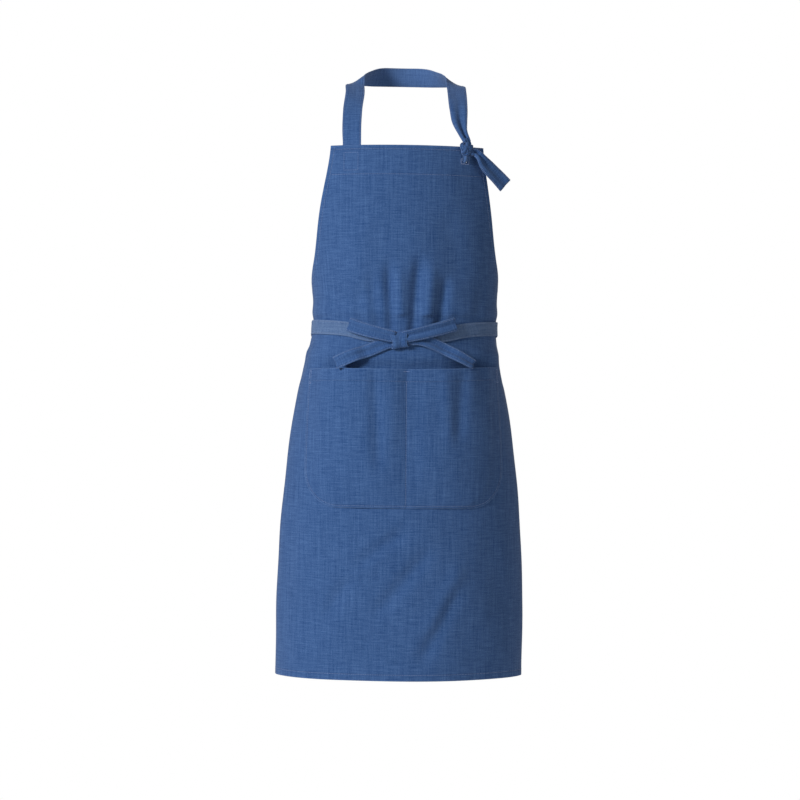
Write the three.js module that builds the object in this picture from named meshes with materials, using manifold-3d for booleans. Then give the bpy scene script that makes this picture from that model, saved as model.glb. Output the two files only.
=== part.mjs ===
// An artist's bib apron, modelled as it hangs when worn: one long cloth panel wrapped round a body
// shape that isn't modelled itself, a neck strap, waist ties in a bow and a wide two-part pocket.
// Millimetres, +Z up, the front faces -Y. The origin is on the inner face of the neck strap, at the
// nape, which is where the apron is carried.

import * as THREE from 'three';
import { mergeVertices } from 'three/addons/utils/BufferGeometryUtils.js';
import Module from 'manifold-3d';

const wasm = await Module();
wasm.setup();

// ---------------------------------------------------------------- driving dimensions

// The cloth panel, laid flat. A drop is a distance down from the bib's top edge.
const LENGTH = 940;
const BIB_TOP_WIDTH = 284;
const WAIST_WIDTH = 660;
const HEM_WIDTH = 800;
const ARMHOLE_DROP = 300;
const CLOTH = 0.9;
const GAP = 0.3;
const WAIST_FOLD = 290;
const FOLD_GAP = 0.5;

// The body shape that the apron is worn on: half-widths and half-depths of its oval sections.
const CHEST = { width: 180, depth: 112 };
const WAIST = { width: 168, depth: 108 };
const HIP = { width: 220, depth: 130 };
const WAIST_DROP = 322;
const HIP_FLARE = 2.6;
const HIP_START = 1.3;

// Hems and sewing thread.
const HEM = 11;
const SIDE_HEM = 8;
const TOP_STITCH = 7;
const FACING = 54;
const THREAD = 0.8;
const THREAD_THICK = 0.4;
const TACK_WIDTH = 4.5;

// The neck strap and its route over the shoulders, above the bib's top edge.
const STRAP_WIDTH = 34;
const STRAP_THICK = 1.5;
const STRAP_SPREAD = 100;
const STRAP_SEWN = 46;
const HINGE_SPREAD = 91;
const HINGE_DEPTH = -30;
const HINGE_RISE = 108;
const NAPE_DEPTH = 62;
const NAPE_RISE = 140;
const NAPE_FLAT = 10;

// The knot that holds the strap in its buttonhole.
const NECK_KNOT = { width: 26, height: 31, thick: 11 };
const NECK_KNOT_DROP = 4;
const NECK_KNOT_SPREAD = 101;
const NECK_KNOT_LIFT = 1.5;
const BUTTONHOLE = { width: 14, height: 7, drop: 26 };
const HOOK_WIDTH = 10;
const HOOK_THICK = 2.4;

// The waist ties and their bow.
const TIE_WIDTH = 25;
const TIE_THICK = 1.5;
const TIE_ROOT_DROP = 313;
const TIE_OVERLAP = 26;
const TIE_LIFT = 3.2;
const TIE_STEP = 1.1;
const BOW_SPREAD = -13;
const BOW_DROP = 343;
const BOW_KNOT = { width: 24, height: 30, thick: 12 };
const BOW_KNOT_LIFT = 2.9;
const LOOP_FOLD = 1.6;
const LOOP_LIFT = 10.8;

// The pocket.
const POCKET_WIDTH = 380;
const POCKET_DROP = 388;
const POCKET_HEIGHT = 250;
const POCKET_CORNER = 72;
const POCKET_GAPE = 11;
const POCKET_HEM = 23;

// ---------------------------------------------------------------- the body shape

const LAYER = CLOTH + GAP;

function mix(a, b, share) {
  return a + (b - a) * share;
}

function range(from, to, steps) {
  return Array.from({ length: steps + 1 }, (_, i) => mix(from, to, i / steps));
}

// Half-width and half-depth of the section at a drop.
function section(drop) {
  if (drop <= WAIST_DROP) {
    const share = 0.5 - 0.5 * Math.cos((Math.PI * Math.max(drop, 0)) / WAIST_DROP);
    return { a: mix(CHEST.width, WAIST.width, share), b: mix(CHEST.depth, WAIST.depth, share) };
  }
  const below = Math.min((drop - WAIST_DROP) / (LENGTH - WAIST_DROP), 1);
  const share = (1 - (1 - below) ** HIP_FLARE) ** HIP_START;
  return { a: mix(WAIST.width, HIP.width, share), b: mix(WAIST.depth, HIP.depth, share) };
}

// Angle round the section, from the front middle, at an arc length along it.
function angleAt({ a, b }, arc) {
  const steps = 240;
  const turn = (2 * Math.PI) / steps;
  const sign = Math.sign(arc);
  let left = Math.abs(arc);
  for (let i = 0; i < 2 * steps; i += 1) {
    const middle = (i + 0.5) * turn;
    const piece = turn * Math.hypot(a * Math.cos(middle), b * Math.sin(middle));
    if (piece >= left) {
      return sign * (i + left / piece) * turn;
    }
    left -= piece;
  }
  return sign * 4 * Math.PI;
}

// Arc length from the front middle to where the section reaches a sideways distance.
function arcTo(drop, sideways) {
  const { a, b } = section(drop);
  const end = Math.asin(sideways / a);
  const steps = 60;
  let arc = 0;
  for (let i = 0; i < steps; i += 1) {
    const middle = ((i + 0.5) * end) / steps;
    arc += (end / steps) * Math.hypot(a * Math.cos(middle), b * Math.sin(middle));
  }
  return arc;
}

// Radius of the section's curve at an arc length.
function roundness(drop, arc) {
  const oval = section(drop);
  const angle = angleAt(oval, arc);
  return Math.hypot(oval.a * Math.cos(angle), oval.b * Math.sin(angle)) ** 3 / (oval.a * oval.b);
}

function halfRound(drop) {
  const { a, b } = section(drop);
  const h = ((a - b) / (a + b)) ** 2;
  return (Math.PI / 2) * (a + b) * (1 + (3 * h) / (10 + Math.sqrt(4 - 3 * h)));
}

function onBody(drop, arc) {
  const oval = section(drop);
  const angle = angleAt(oval, arc);
  return new THREE.Vector3(oval.a * Math.sin(angle), -oval.b * Math.cos(angle), -drop);
}

// The body shape's outward normal.
function outward(drop, arc) {
  const across = onBody(drop, arc + 1).sub(onBody(drop, arc - 1));
  const up = onBody(drop - 1, arc).sub(onBody(drop + 1, arc));
  return across.cross(up).normalize();
}

// A point on the body shape, lifted off it along its normal.
function place(drop, arc, lift) {
  return onBody(drop, arc).addScaledVector(outward(drop, arc), lift);
}

// Half-width of the flat panel at a drop: a quarter-round armhole, then straight sides.
function panelHalf(drop) {
  if (drop < ARMHOLE_DROP) {
    const angle = Math.asin(drop / ARMHOLE_DROP);
    return (WAIST_WIDTH - (WAIST_WIDTH - BIB_TOP_WIDTH) * Math.cos(angle)) / 2;
  }
  return mix(WAIST_WIDTH, HEM_WIDTH, (drop - ARMHOLE_DROP) / (LENGTH - ARMHOLE_DROP)) / 2;
}

// ---------------------------------------------------------------- solids

function volume(points, faces) {
  let sum = 0;
  for (const [i, j, k] of faces) {
    sum += points[i].dot(new THREE.Vector3().crossVectors(points[j], points[k]));
  }
  return sum / 6;
}

// A geometry from points and faces, with its faces turned to look outwards.
function solid(points, faces) {
  const outwards = volume(points, faces) > 0;
  const turned = outwards ? faces : faces.map(([i, j, k]) => [i, k, j]);
  const geometry = new THREE.BufferGeometry();
  geometry.setFromPoints(points);
  geometry.setIndex(turned.flat());
  return geometry;
}

// A thin sheet over rows at the given drops: point(drop, across, side) gives its inner (side 0) and
// outer (side 1) surfaces, with across from -1 to 1.
function sheet(drops, columns, point) {
  const points = [];
  const faces = [];
  const rows = drops.length - 1;
  const wide = columns + 1;
  const layer = wide * drops.length;
  for (const side of [0, 1]) {
    for (const drop of drops) {
      for (let j = 0; j <= columns; j += 1) {
        points.push(point(drop, (2 * j) / columns - 1, side));
      }
    }
  }
  const quad = (a, b, c, d) => faces.push([a, b, c], [a, c, d]);
  for (let i = 0; i < rows; i += 1) {
    for (let j = 0; j < columns; j += 1) {
      const a = i * wide + j;
      quad(a, a + 1, a + wide + 1, a + wide);
      quad(a + layer, a + wide + layer, a + wide + 1 + layer, a + 1 + layer);
    }
  }
  const rim = [];
  for (let j = 0; j < columns; j += 1) rim.push(j);
  for (let i = 0; i < rows; i += 1) rim.push(i * wide + columns);
  for (let j = columns; j > 0; j -= 1) rim.push(rows * wide + j);
  for (let i = rows; i > 0; i -= 1) rim.push(i * wide);
  rim.forEach((a, k) => {
    const b = rim[(k + 1) % rim.length];
    quad(b, a, a + layer, b + layer);
  });
  return solid(points, faces);
}

// A flat band through stations { at, out, width, thick }, with square ends or closed on itself. A
// station's own side sets the direction of its width.
function band(stations, closed = false) {
  const count = stations.length;
  const points = [];
  const faces = [];
  stations.forEach((station, i) => {
    const before = stations[closed ? (i + count - 1) % count : Math.max(i - 1, 0)].at;
    const after = stations[closed ? (i + 1) % count : Math.min(i + 1, count - 1)].at;
    const along = after.clone().sub(before).normalize();
    const side = station.side ?? new THREE.Vector3().crossVectors(along, station.out).normalize();
    const out = new THREE.Vector3().crossVectors(side, along);
    for (const [s, o] of [[-1, -1], [1, -1], [1, 1], [-1, 1]]) {
      const corner = station.at.clone();
      corner.addScaledVector(side, (s * station.width) / 2);
      points.push(corner.addScaledVector(out, (o * station.thick) / 2));
    }
  });
  const last = closed ? count : count - 1;
  for (let i = 0; i < last; i += 1) {
    for (let k = 0; k < 4; k += 1) {
      const a = 4 * i + k;
      const b = 4 * i + ((k + 1) % 4);
      const c = 4 * ((i + 1) % count) + ((k + 1) % 4);
      const d = 4 * ((i + 1) % count) + k;
      // The two broad faces are split along the same diagonal, so that a twist leaves them apart.
      faces.push(...(k === 2 ? [[a, b, d], [b, c, d]] : [[a, b, c], [a, c, d]]));
    }
  }
  if (!closed) {
    const end = 4 * (count - 1);
    faces.push([0, 2, 1], [0, 3, 2], [end, end + 1, end + 2], [end, end + 2, end + 3]);
  }
  return solid(points, faces);
}

// Stations on the body shape through [arc, drop, lift, width] points, smoothed between them.
function route(points, steps, thick) {
  const places = new THREE.CatmullRomCurve3(points.map((p) => new THREE.Vector3(p[0], p[1], p[2])));
  const stations = [];
  for (let i = 0; i <= steps; i += 1) {
    const { x: arc, y: drop, z: lift } = places.getPoint(i / steps);
    const at = (i / steps) * (points.length - 1);
    const low = Math.min(Math.floor(at), points.length - 2);
    const width = mix(points[low][3], points[low + 1][3], at - low);
    stations.push({ at: place(drop, arc, lift), out: outward(drop, arc), width, thick });
  }
  return stations;
}

// A row of stitches as one thin strip, through [arc, drop, lift] points on the cloth.
function stitches(points, closed = false) {
  const stations = points.map(([arc, drop, lift]) => ({
    at: place(drop, arc, lift + GAP + THREAD_THICK / 2),
    out: outward(drop, arc),
    width: THREAD,
    thick: THREAD_THICK,
  }));
  return band(stations, closed);
}

// The corners of a small upright rectangle of stitches, in order round it.
function stitchBox(arc, drop, width, height, lift, steps = 4) {
  const left = arc - width / 2;
  const right = arc + width / 2;
  const top = drop - height / 2;
  const bottom = drop + height / 2;
  const upper = range(left, right, steps).map((x) => [x, top, lift]);
  const lower = range(right, left, steps).map((x) => [x, bottom, lift]);
  return stitches([...upper, ...lower], true);
}

// A rounded block, turned to sit flat on the body shape.
function knot({ width, height, thick }) {
  const ball = new THREE.SphereGeometry(1, 20, 12);
  const round = 0.45;
  const squarish = (value) => Math.sign(value) * Math.abs(value) ** round;
  const position = ball.attributes.position;
  for (let i = 0; i < position.count; i += 1) {
    position.setXYZ(i, (squarish(position.getX(i)) * width) / 2, (squarish(position.getY(i)) * thick) / 2,
      (squarish(position.getZ(i)) * height) / 2);
  }
  return cleaned(ball);
}

function cleaned(geometry) {
  geometry.deleteAttribute('normal');
  geometry.deleteAttribute('uv');
  return mergeVertices(geometry, 1e-4);
}

function toManifold(geometry) {
  const vertProperties = new Float32Array(geometry.attributes.position.array);
  const triVerts = new Uint32Array(geometry.index.array);
  return new wasm.Manifold(new wasm.Mesh({ numProp: 3, vertProperties, triVerts }));
}

function cut(geometry, tool) {
  const mesh = toManifold(geometry).subtract(toManifold(tool)).getMesh();
  const result = new THREE.BufferGeometry();
  result.setAttribute('position', new THREE.BufferAttribute(mesh.vertProperties, 3));
  result.setIndex(new THREE.BufferAttribute(mesh.triVerts, 1));
  return result;
}

// ---------------------------------------------------------------- materials and the assembly

const chambray = { color: 0x4a6da3, roughness: 0.92, metalness: 0 };
const inside = { color: 0x5f7fb0, roughness: 0.92, metalness: 0 };
const threadColour = { color: 0x8e9cc4, roughness: 0.75, metalness: 0 };

const apron = new THREE.Group();
apron.position.set(0, -(NAPE_DEPTH - STRAP_THICK / 2), -NAPE_RISE);

function add(name, geometry, look) {
  const mesh = new THREE.Mesh(geometry, new THREE.MeshStandardMaterial(look));
  mesh.name = name;
  apron.add(mesh);
  return mesh;
}

// ---------------------------------------------------------------- the panel

const COLUMNS = 36;
const quarterRound = (steps) => range(0, Math.PI / 2, steps).map((angle) => ARMHOLE_DROP * Math.sin(angle));
const bibBottom = WAIST_FOLD - FOLD_GAP / 2;
const skirtTop = WAIST_FOLD + FOLD_GAP / 2;
const bibDrops = [...quarterRound(12).filter((drop) => drop < bibBottom - 2), bibBottom];
const cornerDrops = [skirtTop, mix(skirtTop, ARMHOLE_DROP, 0.5), mix(skirtTop, ARMHOLE_DROP, 0.85)];
const waistDrops = range(ARMHOLE_DROP, 2 * WAIST_DROP - ARMHOLE_DROP, 4);
const belowWaist = range(2 * WAIST_DROP - ARMHOLE_DROP, LENGTH, 13).slice(1);
const skirtDrops = [...cornerDrops, ...waistDrops, ...belowWaist];

// Part of the panel, between two lifts off the body shape.
function panel(drops, inner, outer, trim = 0) {
  return sheet(drops, COLUMNS, (drop, across, side) => (
    place(drop, across * (panelHalf(drop) - trim), side ? outer : inner)));
}

const buttonholeArc = arcTo(BUTTONHOLE.drop, NECK_KNOT_SPREAD);

function buttonholeTool() {
  const box = cleaned(new THREE.BoxGeometry(BUTTONHOLE.width, 10 * CLOTH, BUTTONHOLE.height));
  const out = outward(BUTTONHOLE.drop, buttonholeArc);
  box.rotateZ(Math.atan2(out.x, -out.y));
  const at = place(BUTTONHOLE.drop, buttonholeArc, 0);
  return box.translate(at.x, at.y, at.z);
}

add('bib_panel', cut(panel(bibDrops, 0, CLOTH), buttonholeTool()), chambray);
add('bib_facing', cut(panel(range(0, FACING, 3), -LAYER, -GAP, CLOTH), buttonholeTool()), inside);
add('skirt_panel', panel(skirtDrops, 0, CLOTH), chambray);

// ---------------------------------------------------------------- stitching on the panel

// Level row across the front at a drop, ending clear of the side rows.
function levelRow(drop, steps) {
  const half = panelHalf(drop) - 2 * SIDE_HEM;
  return stitches(range(-half, half, steps).map((arc) => [arc, drop, CLOTH]));
}

// [arc, drop] points of a row a hem's width inside the armhole, between two drops.
function armholeRow(top, bottom, steps) {
  const wide = (WAIST_WIDTH - BIB_TOP_WIDTH) / 2 + SIDE_HEM;
  const high = ARMHOLE_DROP + SIDE_HEM;
  const angles = range(Math.asin(top / high), Math.asin(bottom / high), steps);
  return angles.map((angle) => [WAIST_WIDTH / 2 - wide * Math.cos(angle), high * Math.sin(angle)]);
}

// Row round the skirt's top corner and down its side.
function sideRow() {
  const side = range(ARMHOLE_DROP + 2 * SIDE_HEM, LENGTH - HEM / 2, 20);
  const down = side.map((drop) => [panelHalf(drop) - SIDE_HEM, drop]);
  return [...armholeRow(skirtTop + 1, ARMHOLE_DROP + 0.99 * SIDE_HEM, 24), ...down];
}

function sewn(row, sign) {
  return stitches(row.map(([arc, drop]) => [sign * arc, drop, CLOTH]));
}

add('top_edge_thread', levelRow(TOP_STITCH, 24), threadColour);
add('facing_thread', levelRow(FACING - HEM / 4, 24), threadColour);
add('hem_thread', levelRow(LENGTH - HEM, 72), threadColour);
for (const [side, sign] of [['left', -1], ['right', 1]]) {
  add(`armhole_thread_${side}`, sewn(armholeRow(TOP_STITCH / 2, bibBottom - 1, 26), sign), threadColour);
  add(`side_thread_${side}`, sewn(sideRow(), sign), threadColour);
}

// ---------------------------------------------------------------- the pocket

// How far the pocket's inner face stands off the body shape: sewn down at its edges and middle row.
function pocketLift(arc, drop) {
  const across = Math.min((2 * Math.abs(arc)) / POCKET_WIDTH, 1);
  const down = (drop - POCKET_DROP) / POCKET_HEIGHT;
  const bulge = Math.sin(Math.PI * across) ** 0.8 * (1 - down) ** 0.35;
  return LAYER + POCKET_GAPE * bulge * pocketInset(arc, drop);
}

// Half-width of the pocket at a drop, with its two bottom corners as quarter rounds.
function pocketHalf(drop) {
  const below = drop - (POCKET_DROP + POCKET_HEIGHT - POCKET_CORNER);
  const straight = POCKET_WIDTH / 2 - POCKET_CORNER;
  return straight + Math.sqrt(POCKET_CORNER ** 2 - Math.max(below, 0) ** 2);
}

// 1 well inside the outline, falling to 0 at the round corners.
function pocketInset(arc, drop) {
  return Math.min((pocketHalf(drop) - Math.abs(arc)) / (POCKET_CORNER / 2), 1);
}

function pocketSheet() {
  const bend = POCKET_DROP + POCKET_HEIGHT - POCKET_CORNER;
  const round = range(0, Math.PI / 2, 6).map((angle) => bend + POCKET_CORNER * Math.sin(angle));
  return sheet([...range(POCKET_DROP, bend, 7), ...round.slice(1)], 32, (drop, across, side) => {
    const arc = across * pocketHalf(drop);
    return place(drop, arc, pocketLift(arc, drop) + side * CLOTH);
  });
}

function onPocket(arc, drop) {
  return [arc, drop, pocketLift(arc, drop) + CLOTH];
}

// The seam row follows the outline half a hem inside it, from corner tack to corner tack.
function pocketSeam() {
  const inset = SIDE_HEM / 2;
  const half = POCKET_WIDTH / 2 - inset;
  const top = POCKET_DROP + POCKET_HEM + 2 * TACK_WIDTH;
  const bend = POCKET_DROP + POCKET_HEIGHT - POCKET_CORNER;
  const radius = POCKET_CORNER - inset;
  const right = range(top, bend, 10).map((drop) => onPocket(half, drop));
  for (const angle of range(0, Math.PI / 2, 10).slice(1)) {
    const arc = half - radius + radius * Math.cos(angle);
    right.push(onPocket(arc, bend + radius * Math.sin(angle)));
  }
  const bottom = bend + radius;
  const flat = range(half - radius, radius - half, 12).slice(1, -1).map((arc) => onPocket(arc, bottom));
  const left = right.map(([arc, drop, lift]) => [-arc, drop, lift]).reverse();
  return stitches([...right, ...flat, ...left]);
}

add('pocket_panel', pocketSheet(), chambray);
const pocketRow = POCKET_DROP + POCKET_HEM;
const pocketRowHalf = POCKET_WIDTH / 2 - 2 * SIDE_HEM;
const pocketHemRow = range(-pocketRowHalf, pocketRowHalf, 48).map((arc) => onPocket(arc, pocketRow));
add('pocket_hem_thread', stitches(pocketHemRow), threadColour);
add('pocket_seam_thread', pocketSeam(), threadColour);
const dividerBottom = POCKET_DROP + POCKET_HEIGHT - SIDE_HEM;
const dividerRow = range(pocketRow + 2 * THREAD, dividerBottom, 12).map((drop) => onPocket(0, drop));
add('pocket_divider_thread', stitches(dividerRow), threadColour);
const middleTack = [-TACK_WIDTH, TACK_WIDTH].map((arc) => [arc, POCKET_DROP + TACK_WIDTH,
  pocketLift(TACK_WIDTH, POCKET_DROP) + CLOTH]);
add('pocket_tack_middle', stitches(middleTack), threadColour);
for (const [side, sign] of [['left', -1], ['right', 1]]) {
  const arc = sign * (POCKET_WIDTH / 2 - TACK_WIDTH);
  const tackDrop = POCKET_DROP + POCKET_HEM / 2 + TACK_WIDTH;
  const lift = pocketLift(arc - (sign * TACK_WIDTH) / 2, tackDrop - POCKET_HEM / 2) + CLOTH;
  add(`pocket_tack_${side}`, stitchBox(arc, tackDrop, TACK_WIDTH, POCKET_HEM, lift, 1), threadColour);
}

// ---------------------------------------------------------------- the neck strap

const STRAP_LEAN = new THREE.Vector3(0, 0.8, 0.6);

function strapStation(at, out, width = STRAP_WIDTH, thick = STRAP_THICK) {
  return { at: new THREE.Vector3(...at), out: new THREE.Vector3(...out), width, thick };
}

// A station on the shoulder fold, a distance along the strap from the fold's axis.
function foldStation(sign, along, side) {
  const at = new THREE.Vector3(sign * HINGE_SPREAD, HINGE_DEPTH, HINGE_RISE);
  const station = strapStation([0, 0, 0], [0, -STRAP_LEAN.z, STRAP_LEAN.y]);
  station.at = at.addScaledVector(STRAP_LEAN, along);
  station.side = new THREE.Vector3(side, 0, 0);
  return station;
}

// Stations between given ones, smoothed, with their normals turned evenly.
function smoothed(stations, perSpan) {
  const curve = new THREE.CatmullRomCurve3(stations.map((station) => station.at));
  const spans = stations.length - 1;
  const result = [];
  for (let i = 0; i <= spans * perSpan; i += 1) {
    const low = Math.min(Math.floor(i / perSpan), spans - 1);
    const share = i / perSpan - low;
    const [from, to] = [stations[low], stations[low + 1]];
    result.push({
      at: curve.getPoint(i / (spans * perSpan)),
      out: from.out.clone().lerp(to.out, share).normalize(),
      side: share === 0 ? from.side : undefined,
      width: mix(from.width, to.width, share),
      thick: mix(from.thick, to.thick, share),
    });
  }
  return result;
}

// The rear run, from one shoulder round the nape to the other, with a flat stretch in the middle.
function rearStrap() {
  const half = [
    foldStation(-1, FOLD_GAP / 2, 1),
    foldStation(-1, 6, 1),
    strapStation([-HINGE_SPREAD + 5, HINGE_DEPTH + 30, HINGE_RISE + 17], [-0.5, -0.1, 0.86]),
    strapStation([-64, NAPE_DEPTH - 28, NAPE_RISE - 6], [-0.75, 0.3, 0.6]),
    strapStation([-36, NAPE_DEPTH - 7, NAPE_RISE - 1], [-0.5, 0.83, 0.25]),
    strapStation([-NAPE_FLAT, NAPE_DEPTH, NAPE_RISE], [0, 1, 0]),
  ];
  const left = smoothed(half, 4);
  const mirror = new THREE.Vector3(-1, 1, 1);
  const right = left.map(({ at, out, side, width, thick }) => ({
    at: at.clone().multiply(mirror),
    out: out.clone().multiply(mirror),
    side: side?.clone().multiply(mirror),
    width,
    thick,
  }));
  return [...left, ...right.reverse()];
}

// The first two stations of a front run, which leave the shoulder in line with the rear run.
function shoulderStart(sign) {
  return [foldStation(sign, -FOLD_GAP / 2, -1), foldStation(sign, -6, -1)];
}

function sewnStrap() {
  const bow = STRAP_WIDTH ** 2 / (8 * roundness(0, arcTo(0, STRAP_SPREAD)));
  const lift = -LAYER - 2 * GAP - STRAP_THICK / 2 - bow;
  const on = (drop) => {
    const arc = -arcTo(Math.max(drop, 0), STRAP_SPREAD);
    return strapStation(place(drop, arc, lift).toArray(), outward(drop, arc).toArray());
  };
  const middle = [
    strapStation([-STRAP_SPREAD + 3, -71, 64], [-0.1, -0.8, 0.55]),
    strapStation([-STRAP_SPREAD + 1, -85, 28], [-0.25, -0.9, 0.3]),
  ];
  return [...shoulderStart(-1), ...middle, on(-4), on(STRAP_SEWN / 2), on(STRAP_SEWN)];
}

function tiedStrap() {
  const knotTop = NECK_KNOT.height / 2 - NECK_KNOT_DROP + GAP;
  const middle = [
    strapStation([HINGE_SPREAD, -72, 66], [0.1, -0.8, 0.55], 31),
    strapStation([HINGE_SPREAD + 1, -84, 44], [0.15, -0.85, 0.45], 26, 2),
    strapStation([HINGE_SPREAD + 3, -93, 26], [0.25, -0.9, 0.35], 17, 3),
    strapStation([HINGE_SPREAD + 7, -99, knotTop], [0.35, -0.93, 0.1], 12, 4),
  ];
  return [...shoulderStart(1), ...middle];
}

add('neck_strap', band(rearStrap()), chambray);
add('strap_front_left', band(smoothed(sewnStrap(), 4)), chambray);
add('strap_front_right', band(smoothed(tiedStrap(), 4)), chambray);
const sewnArc = -arcTo(STRAP_SEWN / 2, STRAP_SPREAD);
const sewnBox = stitchBox(sewnArc, (TOP_STITCH + STRAP_SEWN) / 2 + 2, STRAP_WIDTH - 8,
  STRAP_SEWN - TOP_STITCH - 8, CLOTH);
add('strap_box_thread', sewnBox, threadColour);

// ---------------------------------------------------------------- the knot in the buttonhole

function seatOn(mesh, drop, arc, lift) {
  const out = outward(drop, arc);
  mesh.position.copy(place(drop, arc, lift));
  mesh.rotation.z = Math.atan2(out.x, -out.y);
}

const neckKnotArc = arcTo(NECK_KNOT_DROP, NECK_KNOT_SPREAD);
const neckKnotLift = CLOTH + NECK_KNOT_LIFT + NECK_KNOT.thick / 2;
seatOn(add('neck_knot', knot(NECK_KNOT), chambray), NECK_KNOT_DROP, neckKnotArc, neckKnotLift);

// The strap's turn through the buttonhole and back over the bib's top edge, knot to knot.
function hook() {
  const bottom = NECK_KNOT_DROP + NECK_KNOT.height / 2;
  const hole = BUTTONHOLE.drop;
  const behind = -LAYER - GAP - CLOTH - HOOK_THICK;
  const turns = [
    [bottom + 2 * GAP, neckKnotLift - 1],
    [hole - 1, CLOTH + 2.6],
    [hole, 0],
    [hole - 1.5, behind + 0.6],
    [hole - 6, behind],
    [2, behind],
    [-4.5, behind + 1.2],
    [-6.5, -CLOTH],
    [-6, CLOTH + 0.4],
  ];
  const stations = turns.map(([drop, lift]) => place(drop, neckKnotArc, lift));
  const curve = new THREE.CatmullRomCurve3(stations);
  const across = new THREE.Vector3().crossVectors(outward(0, neckKnotArc), new THREE.Vector3(0, 0, 1));
  return range(0, 1, 32).map((share) => ({
    at: curve.getPoint(share),
    out: new THREE.Vector3().crossVectors(across, curve.getTangent(share)),
    width: HOOK_WIDTH,
    thick: HOOK_THICK,
  }));
}

add('strap_hook', band(hook()), chambray);
add('buttonhole_thread', stitchBox(buttonholeArc, BUTTONHOLE.drop, BUTTONHOLE.width + 2.4,
  BUTTONHOLE.height + 2.4, CLOTH), threadColour);

function strapTail() {
  const out = outward(NECK_KNOT_DROP, neckKnotArc);
  const across = new THREE.Vector3(-out.y, out.x, 0).normalize();
  const root = place(NECK_KNOT_DROP + 6, neckKnotArc, neckKnotLift + 1);
  root.addScaledVector(across, NECK_KNOT.width / 2 + 3 * GAP);
  const beside = strapStation(root.toArray(), out.toArray(), 9, 3);
  beside.side = new THREE.Vector3(0, 0, -1);
  return [
    beside,
    strapStation([126.5, -95, -15.5], [0.3, -0.9, 0.2], 13, 2.4),
    strapStation([136, -91.5, -28], [0.3, -0.9, 0.25], 24),
    strapStation([147, -88, -39], [0.25, -0.9, 0.3], 27),
    strapStation([160, -83, -51], [0.2, -0.9, 0.3], 28),
    strapStation([175, -78, -66], [0.15, -0.95, 0.2], 28),
  ];
}

add('strap_tail', band(smoothed(strapTail(), 4)), chambray);

// ---------------------------------------------------------------- the waist ties and the bow

// A tie leaves one back edge of the panel, crosses the back over or under its twin, and comes round
// the other side to the bow. Its arc runs on past the middle of the back.
function waistTie(sign, step) {
  const round = 2 * halfRound(TIE_ROOT_DROP);
  const edge = panelHalf(TIE_ROOT_DROP);
  const passing = TIE_ROOT_DROP + TIE_WIDTH + 3.6;
  const knotEdge = BOW_KNOT.width / 2 + GAP - sign * BOW_SPREAD;
  const points = [
    [edge - TIE_OVERLAP, TIE_ROOT_DROP, TIE_LIFT],
    [edge + 3, TIE_ROOT_DROP, TIE_LIFT],
    [edge + 16, TIE_ROOT_DROP + 1, TIE_LIFT + step],
    [round / 2, (TIE_ROOT_DROP + passing) / 2, TIE_LIFT + step],
    [round - edge - 16, passing - 1, TIE_LIFT + step],
    [round - edge - 3, passing, TIE_LIFT + Math.max(step, 0)],
    [round - edge + TIE_OVERLAP, passing - 2, TIE_LIFT],
    [round - (edge + round / 4) / 2, passing - 9, TIE_LIFT],
    [round - round / 4, TIE_ROOT_DROP + 7, TIE_LIFT],
    [round - 165, TIE_ROOT_DROP + 7, TIE_LIFT],
    [round - 110, TIE_ROOT_DROP + 11, TIE_LIFT],
    [round - 60, BOW_DROP - 10, TIE_LIFT],
    [round - knotEdge - 14, BOW_DROP - 7, TIE_LIFT + 0.4, TIE_WIDTH - 3],
    [round - knotEdge, BOW_DROP - 6, TIE_LIFT + 0.9, TIE_WIDTH - 6],
  ];
  const turned = points.map(([arc, drop, lift, width = TIE_WIDTH]) => [sign * arc, drop, lift, width]);
  return route(turned, 91, TIE_THICK);
}

add('waist_tie_left', band(waistTie(-1, TIE_STEP)), chambray);
add('waist_tie_right', band(waistTie(1, -TIE_STEP)), chambray);
for (const [side, sign] of [['left', -1], ['right', 1]]) {
  const arc = sign * (panelHalf(TIE_ROOT_DROP) - TIE_OVERLAP / 2);
  const lift = TIE_LIFT + TIE_THICK / 2;
  const size = TIE_WIDTH - 7;
  add(`tie_tack_${side}`, stitchBox(arc, TIE_ROOT_DROP, size, size, lift), threadColour);
}

const bowArc = arcTo(BOW_DROP, BOW_SPREAD);
seatOn(add('bow_knot', knot(BOW_KNOT), chambray), BOW_DROP, bowArc, BOW_KNOT_LIFT + BOW_KNOT.thick / 2);
const bowEdge = BOW_KNOT.width / 2 + 3 * GAP;

// A loop: the tie runs out along the front, folds back round its end and returns behind itself.
function bowLoop(sign, length, rise) {
  const arc = (share) => bowArc + sign * mix(bowEdge, length, share);
  const drop = (share) => BOW_DROP - 5 - rise * share ** 1.2;
  const width = (share) => mix(TIE_WIDTH - 11, TIE_WIDTH - 1, Math.sin((Math.PI / 2) * share) ** 0.6);
  const layer = (share, lift, turned) => ({
    at: place(drop(share), arc(share), lift),
    out: outward(drop(share), arc(share)).multiplyScalar(turned),
    width: width(share),
    thick: TIE_THICK,
  });
  const belly = (share) => LOOP_FOLD * (1 + 0.5 * Math.sin(Math.PI * share));
  const front = range(0, 1, 14).map((share) => layer(share, LOOP_LIFT + belly(share), 1));
  const back = range(0, 1, 14).map((share) => layer(share, LOOP_LIFT - belly(share), -1)).reverse();
  const end = place(drop(1), arc(1), LOOP_LIFT);
  const along = end.clone().sub(place(drop(0.95), arc(0.95), LOOP_LIFT)).normalize();
  const normal = outward(drop(1), arc(1));
  const turn = range(0, Math.PI, 8).slice(1, -1).map((angle) => {
    const out = normal.clone().multiplyScalar(Math.cos(angle)).addScaledVector(along, Math.sin(angle));
    return { at: end.clone().addScaledVector(out, LOOP_FOLD), out, width: width(1), thick: TIE_THICK };
  });
  return band([...front, ...turn, ...back]);
}

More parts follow.
